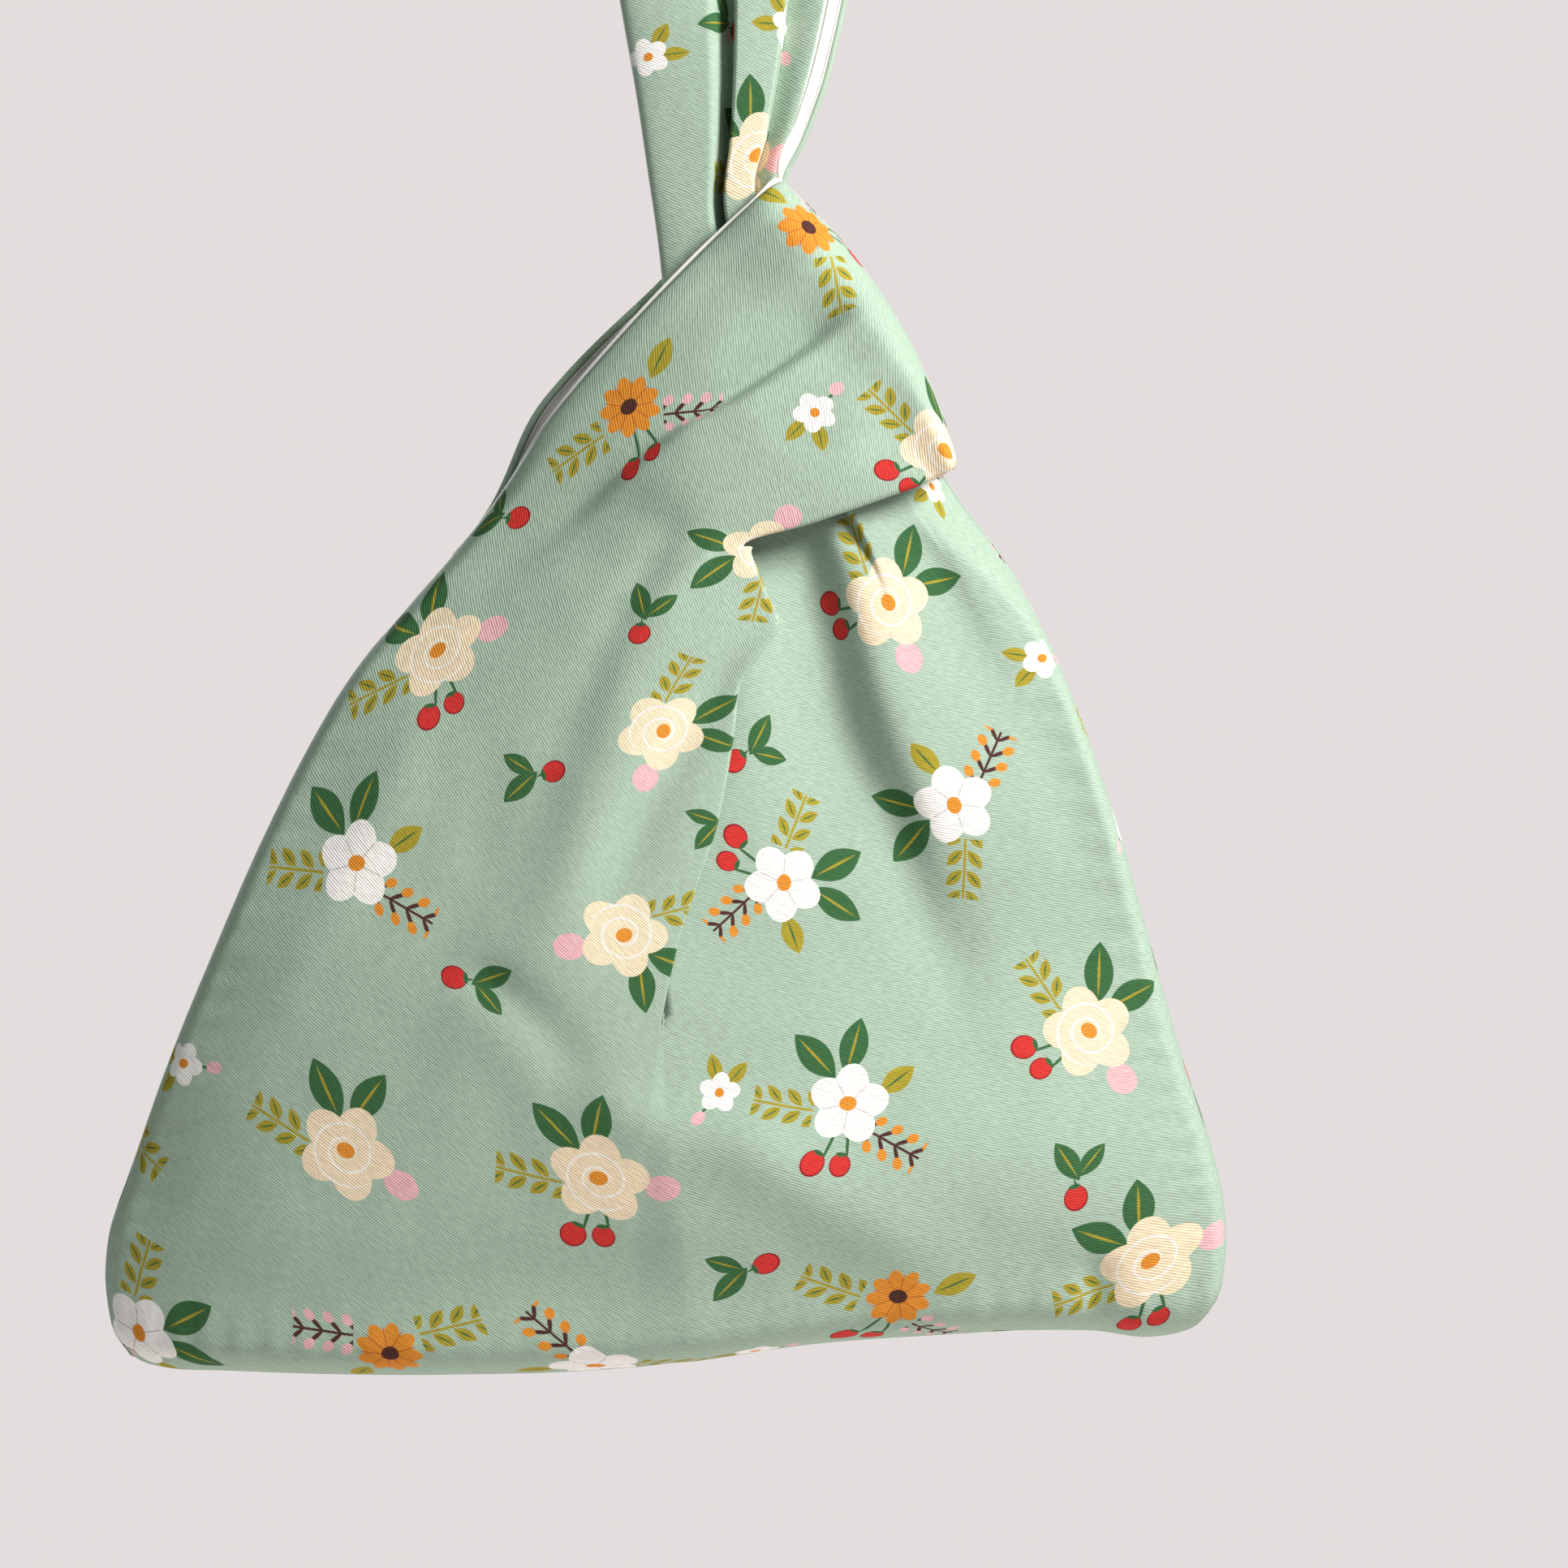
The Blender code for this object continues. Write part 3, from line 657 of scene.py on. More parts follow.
    def middle_fold(self, station: Array, place: Array, arc: int) -> tuple[Array, ...]:
        """Points of the tuck between the halves, where the left one laps over the right one.

        The cloth turns under along an arc at the left half's lip, runs back behind it, and turns again along
        an arc into the right half. Lower down the lip doesn't lap over, and the cloth runs smoothly across.

        Args:
            station: The points' stations.
            place: Their places along the tuck, from 1 to 2 * arc.
            arc: The columns in each of the two arcs.

        Returns:
            The points' x, height and depth, in millimetres.
        """
        left = self.left_half(station, np.ones_like(station))
        right = self.right_half(station, np.zeros_like(station))
        share = place / (2 * arc + 1)
        radius = (left[2] - right[2]) / 4
        second = place > arc
        angle = np.pi * np.where(second, 2 * arc + 1 - place, place) / arc
        out, down = radius * np.sin(angle), radius * (1 - np.cos(angle))
        soft = grows(share, 0, 1)
        lapping = grows(left[0] - right[0], -LAP_GROWS, 0)
        x = mix(mix(left[0], right[0], share), np.where(second, right[0] - out, left[0] + out), lapping)
        lapped = np.where(second, right[2] + down, left[2] - down)
        return x, mix(left[1], right[1], soft), mix(mix(left[2], right[2], soft), lapped, lapping)

    def shifted(
        self, half: Half, station: Array, across: Array, x: Array, h: Array
    ) -> tuple[Array, Array]:
        """The places of points as this side has them.

        Args:
            half: The part of the panel that the points are on.
            station: The points' stations.
            across: Their shares of the way across.
            x: Their places across the bag.
            h: Their heights.

        Returns:
            The points' x and height. The back's middle fold hangs further right than the front's, and its
            armhole edges stand past the front's, so that they show.
        """
        if self.side is Side.FRONT:
            return x, h
        shift = np.interp(station, BACK_FOLD_SHIFT["station"], BACK_FOLD_SHIFT["x"])
        if half is Half.TUCK:
            return x + shift, h
        if half is Half.RIGHT:
            further = np.interp(station, BACK_STRAP_SHIFT["station"], BACK_STRAP_SHIFT["x"])
            return x + mix(shift, further, across), h
        along = comes_and_goes(station, self.back_edge_rises, self.back_edge_falls)
        rise = self.back_edge_rise * along * (1 - across) ** 2
        near_seam = comes_and_goes(station, self.back_lip_rises, self.back_lip_falls)
        lip = self.back_lip_rise * near_seam * across**3
        out, up = self.back_edge_way
        return x + shift * across + out * rise, h + up * rise + lip

    def grid(self, half: Half, stations: Array, shares: Array, arc: int = 1) -> Array:
        """A grid of points over one half of the panel, or over its tuck.

        Args:
            half: The part of the panel.
            stations: The rows' stations.
            shares: The columns' shares of the way across, or their places in the tuck. They may have a row
                of their own for each station.
            arc: The columns in each of the tuck's two arcs.

        Returns:
            An array of points, a row for each station, in millimetres, in the part's own frame.
        """
        across = np.broadcast_to(shares, (len(stations), np.shape(shares)[-1]))
        station = np.broadcast_to(stations[:, None], across.shape)
        if half is Half.LEFT:
            x, h, depth = self.left_half(station, across)
            if self.side is Side.BACK:
                forward = comes_and_goes(station, self.back_forward_grows, self.back_forward_ends)
                depth = depth * (1 - self.back_edge_forward * forward * (1 - across) ** 3)
        elif half is Half.RIGHT:
            x, h, depth = self.right_half(station, across)
        else:
            x, h, depth = self.middle_fold(station, across, arc)
        x, h = self.shifted(half, station, across, x, h)
        return np.stack([x, self.side.facing * depth, h - HANG_HEIGHT], axis=-1)


def crowded(count: int, even: float = 0.62) -> Array:
    """count + 1 shares from 0 to 1, somewhat closer together towards 1, where the cloth turns."""
    rest = np.linspace(1, 0, count + 1)
    return 1 - mix(rest**2, rest, even)


def refined(shares: Array, low: float, high: float, count: int, apart: float = 0.004) -> Array:
    """The shares, with those from low to high replaced by count closer ones."""
    kept = shares[(shares < low - apart) | (shares > high + apart)]
    return np.sort(np.concatenate([kept, np.linspace(low, high, count)]))


def up_to_turn(first: float, last: float, spacing: float, radius: float, turn_rows: int) -> Array:
    """Stations up to a seam: evenly spaced rows, then evenly turned ones round the seam's radius.

    Args:
        first: The first station.
        last: The seam's station.
        spacing: The distance from row to row.
        radius: The radius.
        turn_rows: How many steps the turn has.

    Returns:
        The stations.
    """
    rows = max(1, round((last - radius - first) / spacing))
    angle = np.linspace(math.pi / 2, 0, turn_rows + 1)
    even = np.linspace(first, last - radius, rows + 1)[:-1]
    return np.concatenate([even, last - radius * (1 - np.cos(angle))])


def normals_of(points: Array, side: Side) -> Array:
    """The direction out of the bag at each point of a grid."""
    across, along = np.gradient(points, axis=1), np.gradient(points, axis=0)
    return unit(np.cross(across, along)) * -side.facing


class Net:
    """Points joined in blocks of rows and columns, which become one mesh."""

    def __init__(self) -> None:
        """Starts with no points."""
        self.points = np.zeros((0, 3))
        self.blocks: list[Array] = []

    def add(self, points: Array, first_row: Array | None = None) -> Array:
        """Adds a block.

        Args:
            points: A grid of points.
            first_row: The numbers of points that are there already and come before the grid's rows.

        Returns:
            The block's point numbers, a row for each row of points.
        """
        start = len(self.points)
        self.points = np.concatenate([self.points, points.reshape(-1, 3)])
        numbers = np.arange(start, len(self.points)).reshape(points.shape[:2])
        if first_row is not None:
            numbers = np.concatenate([first_row[None], numbers])
        self.blocks.append(numbers)
        return numbers

    def quads(self, side: Side) -> Array:
        """The faces of all blocks, facing out of the bag.

        Args:
            side: The panel that the net belongs to.

        Returns:
            Four point numbers for each face.
        """
        faces = []
        for block in self.blocks:
            corners = (block[:-1, :-1], block[:-1, 1:], block[1:, 1:], block[1:, :-1])
            faces.append(np.stack(corners, axis=-1).reshape(-1, 4))
        found = np.concatenate(faces)
        return found if side is Side.FRONT else found[:, ::-1]


def solve(
    count: int,
    ends: Array,
    weights: Array,
    steps: Array,
    rounds: int = 700,
    precision: float = 1e-12,
) -> Array:
    """Numbers at points whose differences along edges are as near as can be to the wanted steps.

    Args:
        count: How many points there are.
        ends: The two points of each edge.
        weights: How much each edge counts.
        steps: The wanted difference along each edge.
        rounds: The most rounds of conjugate gradients.
        precision: The share of the first error at which they stop.

    Returns:
        A number for each point.
    """
    first, last = ends

    def gather(flow: Array) -> Array:
        """What the edges' flows add up to at each point."""
        return np.bincount(last, flow, count) - np.bincount(first, flow, count)

    degree = np.bincount(first, weights, count) + np.bincount(last, weights, count)
    found = np.zeros(count)
    rest = gather(weights * steps)
    ready = rest / degree
    heading, product = ready.copy(), rest @ ready
    goal = product * precision
    for _ in range(rounds):
        pull = gather(weights * (heading[last] - heading[first]))
        share = product / (heading @ pull)
        found += share * heading
        rest -= share * pull
        ready = rest / degree
        before, product = product, rest @ ready
        if product < goal:
            break
        heading = ready + heading * (product / before)
    return found


def print_turn(turns: Columns, x: Array, h: Array) -> Array:
    """How far the print is turned clockwise at some points.

    Args:
        turns: A table of places and the print's turns there.
        x: The points' places across the bag.
        h: Their heights.

    Returns:
        The turn at each point, in radians.
    """
    apart = (x[..., None] - turns["x"]) ** 2 + (h[..., None] - turns["h"]) ** 2
    weight = 1 / (apart + TURN_REACH**2) ** 2
    return np.radians((weight * turns["turn"]).sum(-1) / weight.sum(-1))


def edges_of(
    block: Array, points: Array, turn: Array, stiff: Array, least: float = 0.02
) -> tuple[Array, ...]:
    """The edges of one block, with the steps that they should have on the flat cloth.

    Args:
        block: The block's point numbers.
        points: All points.
        turn: At each point of the block, the angle from its row to the print's own rows.
        stiff: At each point of the block, how much its edges count.
        least: The shortest edge that a weight is worked out for.

    Returns:
        The edges' first points, last points, weights, and steps along the print's rows and columns.
    """
    grid = points[block]
    across, along = np.gradient(grid, axis=1), np.gradient(grid, axis=0)
    row = unit(across)
    column = unit(along - (along * row).sum(-1, keepdims=True) * row)
    cosine, sine = np.cos(turn)[..., None], np.sin(turn)[..., None]
    print_row, print_column = cosine * row + sine * column, cosine * column - sine * row
    wide, tall = (np.maximum(np.linalg.norm(step, axis=-1), least) for step in (across, along))
    found = []
    for near, far, weight in (
        (np.s_[:, :-1], np.s_[:, 1:], tall / wide),
        (np.s_[:-1], np.s_[1:], wide / tall),
    ):
        step = grid[far] - grid[near]
        u = (step * (print_row[near] + print_row[far])).sum(-1) / 2
        v = (step * (print_column[near] + print_column[far])).sum(-1) / 2
        count = (weight * stiff)[near]
        found.append([a.ravel() for a in (block[near], block[far], count, u, v)])
    return tuple(np.concatenate(parts) for parts in zip(*found))


@dataclass
class Panel:
    """One printed panel with its halves of the two handles."""

    drape: Drape
    quad: float = 1.7  # side of the mesh's quads
    half_width: float = 110.0  # of either half, about the middle of the body
    foot: tuple[float, ...] = (0, 0.7, 1.5, 3, 5, 7.5, 10, 13.5)  # the rows beside the bottom seam
    foot_top: float = 17.0
    pleat_columns: tuple[tuple[float, float, int], ...] = ((0.535, 0.59, 10), (0.79, 0.83, 7))
    tuck_arc: int = 8
    turn_rows: int = 10
    slack: float = 0.04  # how much the hidden cloth of the tuck counts when the print is laid out
    least_step: float = 0.05
    net: Net = field(default_factory=Net)

    def stations(self) -> tuple[Array, Array, Array]:
        """Where the rows of points are.

        Returns:
            The stations of the body, the short handle and the long handle.
        """
        rows = round((NECK_STATION - self.foot_top) / self.quad)
        body = np.concatenate([self.foot, np.linspace(self.foot_top, NECK_STATION, rows + 1)])
        band, strap = (
            up_to_turn(NECK_STATION, last, self.quad, radius, self.turn_rows)[1:]
            for last, radius in ((TURN_STATION, TURN_ROUND), (TOP_STATION, TOP_ROUND))
        )
        return body, band, strap

    def shares(self) -> tuple[Array, Array]:
        """Where the columns of points are.

        Returns:
            Their shares of the way across the left half, and across the right half.
        """
        left = right = crowded(round(self.half_width / self.quad))
        for low, high, count in self.pleat_columns:
            right = refined(right, low, high, count)
        return 1 - left[::-1], right

    def build(self) -> bpy.types.Object:
        """Lays out the cloth and its print.

        Returns:
            The panel as an object, with the print's map and no material.
        """
        body, band, strap = self.stations()
        left, right = self.shares()
        tuck = np.arange(1, 2 * self.tuck_arc + 1)
        drape, net = self.drape, self.net
        halves = [
            drape.grid(Half.LEFT, body, left),
            drape.grid(Half.TUCK, body, tuck, self.tuck_arc),
            drape.grid(Half.RIGHT, body, right),
        ]
        rows = net.add(np.concatenate(halves, axis=1))
        short = net.add(drape.grid(Half.LEFT, band, left), rows[-1, : len(left)])
        long = net.add(drape.grid(Half.RIGHT, strap, right), rows[-1, -len(right) :])
        flat = self.flatten([rows, short, long], (len(left), len(tuck)), body)
        sewn = int((body <= SEAM_TOP).sum())
        outer, inner = (
            np.concatenate([rows[sewn - 1 : 0 : -1, i], rows[i], rows[1:sewn, -1 - i]]) for i in (0, 1)
        )
        seams = [(outer, inner), *((block[-1, ::-1], block[-2, ::-1]) for block in (short, long))]
        for edge, next_in in seams:
            flat = self.turn_in(edge, next_in, flat)
        return self.make_object(flat)

    def flatten(self, blocks: list[Array], columns: tuple[int, int], body: Array) -> Array:
        """Where each point lies on the flat printed cloth.

        The steps between neighbours keep their true lengths as well as they can, and the print is turned as
        the tables of turns say. The cloth that is hidden in the tuck takes up most of the difference.

        Args:
            blocks: The point numbers of the body, the short handle and the long handle.
            columns: How many columns the body's left half and its tuck have.
            body: The body's stations.

        Returns:
            The points' places on the flat cloth, in millimetres.
        """
        points, found = self.net.points, []
        left, right = columns[0], sum(columns)
        body_parts = ((np.s_[:, :left], LEFT_TURNS), (np.s_[:, right:], RIGHT_TURNS))
        whole = np.s_[:, :]
        for block, parts in zip(blocks, (body_parts, ((whole, LEFT_TURNS),), ((whole, RIGHT_TURNS),))):
            grid = points[block]
            x, h = grid[..., 0], grid[..., 2] + HANG_HEIGHT
            across = np.gradient(grid, axis=1)
            slope = np.arctan2(across[..., 2], across[..., 0])
            turn, stiff = np.empty(block.shape), np.ones(block.shape)
            for part, turns in parts:
                turn[part] = -print_turn(turns, x[part], h[part]) - slope[part]
            if parts is body_parts:
                share = np.arange(1, columns[1] + 1) / (columns[1] + 1)
                turn[:, left:right] = mix(turn[:, left - 1, None], turn[:, right, None], share)
                lapped = smooth(LEFT, "lip_x", body) - smooth(RIGHT, "near_x", body)
                stiff[:, left:right] = mix(1, self.slack, grows(lapped, 0, LAP_GROWS))[:, None]
            found.append(edges_of(block, points, turn, stiff))
        first, last, weights, u, v = (np.concatenate(values) for values in zip(*found))
        flat = np.stack([solve(len(points), (first, last), weights, step) for step in (u, v)], axis=-1)
        return flat - flat[blocks[0][0, 0]]

    def turn_in(self, edge: Array, next_in: Array, flat: Array) -> Array:
        """Runs the cloth straight back from an edge to where the seam joins it to the other panel.

        Args:
            edge: The point numbers of the edge.
            next_in: Those of the row inside it.
            flat: The points' places on the flat cloth.

        Returns:
            The places on the flat cloth, with the new points' too.
        """
        points = self.net.points
        seam = points[edge].copy()
        seam[:, 1] = SEAM_DEPTH * self.drape.side.facing
        run = np.linalg.norm(seam - points[edge], axis=-1)
        inward = np.maximum(np.linalg.norm(points[next_in] - points[edge], axis=-1), self.least_step)
        beyond = flat[edge] + (flat[edge] - flat[next_in]) * (run / inward)[:, None]
        start = len(points)
        self.net.points = np.concatenate([points, seam])
        self.net.blocks.append(np.stack([np.arange(start, start + len(edge)), edge]))
        return np.concatenate([flat, beyond])

    def make_object(self, flat: Array) -> bpy.types.Object:
        """Makes the net an object, with the places on the flat cloth as its print map.

        Args:
            flat: Those places, in millimetres. The map has them in metres.

        Returns:
            The object.
        """
        side = self.drape.side
        cloth = mesh_object(side.value + "_cloth", self.net.points, self.net.quads(side))
        uv = cloth.data.uv_layers.new(name=PRINT_MAP)
        corners = np.empty(len(cloth.data.loops), np.int32)
        cloth.data.loops.foreach_get("vertex_index", corners)
        places = flat[corners] * MM * (-side.facing, 1)
        uv.data.foreach_set("uv", places.astype(np.float32).ravel())
        thicken(cloth, CLOTH)
        return cloth


def mesh_object(
    name: str, points: Array, faces: Array, links: list[tuple[int, int]] | None = None
) -> bpy.types.Object:
    """A smooth object in the scene.

    Args:
        name: Its name.
        points: Its points, in millimetres.
        faces: The point numbers of each face.
        links: Those of each edge that has no face.

    Returns:
        The object.
    """
    data = bpy.data.meshes.new(name)
    data.from_pydata((points * MM).tolist(), links or [], faces.tolist())
    data.validate()
    data.shade_smooth()
    made = bpy.data.objects.new(name, data)
    bpy.context.scene.collection.objects.link(made)
    return made


def thicken(sheet: bpy.types.Object, thickness: float) -> None:
    """Gives a sheet its thickness, half of it on each side.

    Args:
        sheet: The sheet, in the middle of its cloth.
        thickness: The thickness, in millimetres.
    """
    wall = sheet.modifiers.new("Cloth", "SOLIDIFY")
    wall.thickness = thickness * MM
    wall.offset = 0.0
    wall.use_even_offset = False
    wall.thickness_clamp = 0.0


@dataclass
class Lining:
    """The lining behind one panel, which stands out a little past its cut edges."""

    panel: Panel
    foot: float = 6.0
    ends: float = 0.8  # short of a handle's seam
    armhole_shows: float = 1.3
    armhole_grows: Pair = (SEAM_TOP, SEAM_TOP + 8)
    strap_arm_shows: float = 1.2
    strap_arm_grows: Pair = (226, 238)
    strap_neck_shows: float = 0.25
    strap_neck_grows: Pair = (NECK_STATION, NECK_STATION + 8)
    arm_roll_from: float = 232.0
    reach: int = 7  # how many columns the way out past an edge is taken over
    tuck_clear: float = 3.0  # how far beside the tuck the lining crosses from one half to the other
    past_tuck: Pair = (192, 206)  # where it comes to line the whole of the short handle
    edges: list[Array] = field(default_factory=list)

    def behind(self, points: Array) -> Array:
        """The points moved in from the printed cloth to the middle of the lining."""
        distance = CLOTH / 2 + BETWEEN + LINING / 2
        return points - normals_of(points, self.panel.drape.side) * distance

    def stretch(self, points: Array, column: int, shows: Array | float) -> None:
        """Moves a grid's first or last column out past its edge, along the cloth.

        Args:
            points: The grid, which is changed.
            column: 0 or -1, the column.
            shows: How far each of its points is moved.
        """
        inner = self.reach if column == 0 else -1 - self.reach
        out = unit(points[:, column] - points[:, inner])
        points[:, column] += out * np.broadcast_to(shows, len(points))[:, None]

    def build(self) -> bpy.types.Object:
        """Lays out the lining.

        Returns:
            The lining as an object, with no material. edges then holds the lines that a roll runs along: at
            the front where the lining shows, and at the back along the printed cloth's own armhole edges.
        """
        drape, net = self.panel.drape, Net()
        body, band, strap = self.panel.stations()
        body = body[body >= self.foot]
        left_stations = np.concatenate([body, band[band < TURN_STATION - self.ends]])
        right_stations = np.concatenate([body, strap[strap < TOP_STATION - self.ends]])
        left_shares, right_shares = self.panel.shares()
        shares = left_shares * self.left_share(left_stations)[:, None]
        left = self.behind(drape.grid(Half.LEFT, left_stations, shares))
        right = self.behind(drape.grid(Half.RIGHT, right_stations, right_shares))
        self.stretch(left, 0, self.armhole_shows * grows(left_stations, *self.armhole_grows))
        self.stretch(right, -1, self.strap_arm_shows * grows(right_stations, *self.strap_arm_grows))
        self.stretch(right, 0, self.strap_neck_shows * grows(right_stations, *self.strap_neck_grows))
        left_numbers, right_numbers = net.add(left), net.add(right)
        net.blocks.append(np.stack([left_numbers[: len(body), -1], right_numbers[: len(body), 0]], axis=1))
        sewn = int((body <= SEAM_TOP).sum())
        if drape.side is Side.FRONT:
            long_arm = right[right_stations > self.arm_roll_from, -1]
            self.edges = [left[sewn:, 0], right[len(body) :, 0], long_arm]
        else:
            short_arm = drape.grid(Half.LEFT, left_stations[sewn:], left_shares)[:, 0]
            self.edges = [short_arm, drape.grid(Half.RIGHT, right_stations[sewn:], right_shares)[:, -1]]
        lining = mesh_object(drape.side.value + "_lining", net.points, net.quads(drape.side))
        thicken(lining, LINING)
        return lining

    def left_share(self, stations: Array) -> Array:
        """How much of the left half is lined: up to beside the tuck, and the whole of the short handle.

        Args:
            stations: The rows' stations.

        Returns:
            The lined share of each row.
        """
        edge, lip = read(LEFT, "edge_x lip_x", stations)
        near = smooth(RIGHT, "near_x", stations)
        beside = (np.minimum(lip, near) - self.tuck_clear - edge) / (lip - edge)
        return mix(beside, 1, grows(stations, *self.past_tuck))


def edge_tree() -> bpy.types.GeometryNodeTree:
    """Makes the geometry nodes that turn a line into a roll of cloth.

    Returns:
        Their tree. Its inputs are Radius, Sides and Finish.
    """
    tree = bpy.data.node_groups.new("Rolled edge", "GeometryNodeTree")
    for name, way, kind in (
        ("Geometry", "INPUT", "Geometry"),
        ("Radius", "INPUT", "Float"),
        ("Sides", "INPUT", "Int"),
        ("Finish", "INPUT", "Material"),
        ("Geometry", "OUTPUT", "Geometry"),
    ):
        tree.interface.new_socket(name, in_out=way, socket_type="NodeSocket" + kind)
    given, made = tree.nodes.new("NodeGroupInput"), tree.nodes.new("NodeGroupOutput")
    line, profile, sweep, smoothed, painted = (
        tree.nodes.new("GeometryNode" + kind)
        for kind in ("MeshToCurve", "CurvePrimitiveCircle", "CurveToMesh", "SetShadeSmooth", "SetMaterial")
    )
    sweep.inputs["Fill Caps"].default_value = True
    for source, name, target, into in (
        (given, "Geometry", line, "Mesh"),
        (given, "Sides", profile, "Resolution"),
        (given, "Radius", profile, "Radius"),
        (line, "Curve", sweep, "Curve"),
        (profile, "Curve", sweep, "Profile Curve"),
        (sweep, "Mesh", smoothed, "Geometry"),
        (smoothed, "Geometry", painted, "Geometry"),
        (given, "Finish", painted, "Material"),
        (painted, "Geometry", made, "Geometry"),
    ):
        tree.links.new(source.outputs[name], target.inputs[into])
    return tree


@dataclass
class EdgeRoll:
    """The pressed roll of cloth along the edges of one panel's handles."""

    side: Side
    lines: list[Array]
    radius: float
    sides: int = 8

    def build(self, tree: bpy.types.GeometryNodeTree, finish: bpy.types.Material) -> bpy.types.Object:
        """Sweeps a round section along the lines.

        Args:
            tree: The tree from edge_tree.
            finish: The roll's material.

        Returns:
            The roll as a plain mesh object.
        """
        name, links, start = self.side.value + "_edge_roll", [], 0
        for line in self.lines:
            links += [(start + i, start + i + 1) for i in range(len(line) - 1)]
            start += len(line)
        guide = mesh_object("roll_line", np.concatenate(self.lines), np.zeros((0, 3), int), links)
        sweep = guide.modifiers.new("Roll", "NODES")
        sweep.node_group = tree
        values = {"Radius": self.radius * MM, "Sides": self.sides, "Finish": finish}
        for item in tree.interface.items_tree:
            if item.name in values:
                sweep[item.identifier] = values[item.name]
        graph = bpy.context.evaluated_depsgraph_get()
        data = bpy.data.meshes.new_from_object(guide.evaluated_get(graph))
        data.name = name
        bpy.data.objects.remove(guide)
        roll = bpy.data.objects.new(name, data)
        bpy.context.scene.collection.objects.link(roll)
        return roll


class Ink(Enum):
    """The colours of the cloth and its print, as linear reflectances."""

    GROUND = (0.355, 0.465, 0.365)
    WHITE = (0.85, 0.83, 0.79)
    SHADE = (0.58, 0.56, 0.52)
    CREAM = (0.80, 0.66, 0.46)
    ORANGE = (0.68, 0.25, 0.03)
    RUST = (0.45, 0.11, 0.02)
    RED = (0.58, 0.035, 0.03)
    WINE = (0.26, 0.012, 0.015)
    PINK = (0.74, 0.42, 0.44)
    OLIVE = (0.36, 0.29, 0.03)
    LEAF = (0.04, 0.125, 0.045)
    BARK = (0.075, 0.026, 0.02)


Tree = bpy.types.ShaderNodeTree


def add_node(
    tree: Tree, kind: str, inputs: dict[str | int, object], **settings: object
) -> bpy.types.ShaderNode:
    """Adds a node to a material.

    Args:
        tree: The material's node tree.
        kind: The node's type.
        inputs: A field to link, an ink or a constant for each input, under its name or number.
        settings: The node's own settings.

    Returns:
        The node.
    """
    node = tree.nodes.new(kind)
    for name, value in settings.items():
        setattr(node, name, value)
    for name, value in inputs.items():
        if isinstance(value, Field):
            tree.links.new(value.socket, node.inputs[name])
        else:
            node.inputs[name].default_value = (*value.value, 1) if isinstance(value, Ink) else value
    return node


@dataclass(frozen=True)
class Field:
    """A number or a vector that varies over the cloth. Its arithmetic adds shader nodes."""

    socket: bpy.types.NodeSocket

    @property
    def tree(self) -> Tree:
        """The node tree that the field belongs to."""
        return self.socket.id_data

    def math(self, operation: str, *others: "Field | float", clamp: bool = False) -> "Field":
        """Adds a math node with this field as its first input.

        Args:
            operation: What the node does.
            others: Its other inputs.
            clamp: Whether the result is kept between 0 and 1.

        Returns:
            The result.
        """
        inputs = dict(enumerate((self, *others)))
        node = add_node(self.tree, "ShaderNodeMath", inputs, operation=operation, use_clamp=clamp)
        return Field(node.outputs[0])

    def __add__(self, other: "Field | float") -> "Field":
        """The sum."""
        return self.math("ADD", other)

    def __sub__(self, other: "Field | float") -> "Field":
        """The difference."""
        return self.math("SUBTRACT", other)

    def __mul__(self, other: "Field | float") -> "Field":
        """The product."""
        return self.math("MULTIPLY", other)

    def __abs__(self) -> "Field":
        """The field without its sign."""
        return self.math("ABSOLUTE")

    def times_plus(self, factor: "Field | float", extra: "Field | float") -> "Field":
        """The field times a factor, and something more."""
        return self.math("MULTIPLY_ADD", factor, extra)

    def above(self, limit: float) -> "Field":
        """1 where the field is above the limit, and 0 elsewhere."""
        return self.math("GREATER_THAN", limit)

    def below(self, limit: float, unit: float = 1.0) -> "Field":
        """1 where the field is below the limit, with a soft edge. unit is the field's step in millimetres."""
        sharp = unit / PRINT_EDGE
        return self.math("MULTIPLY_ADD", -sharp, limit * sharp + 0.5, clamp=True)


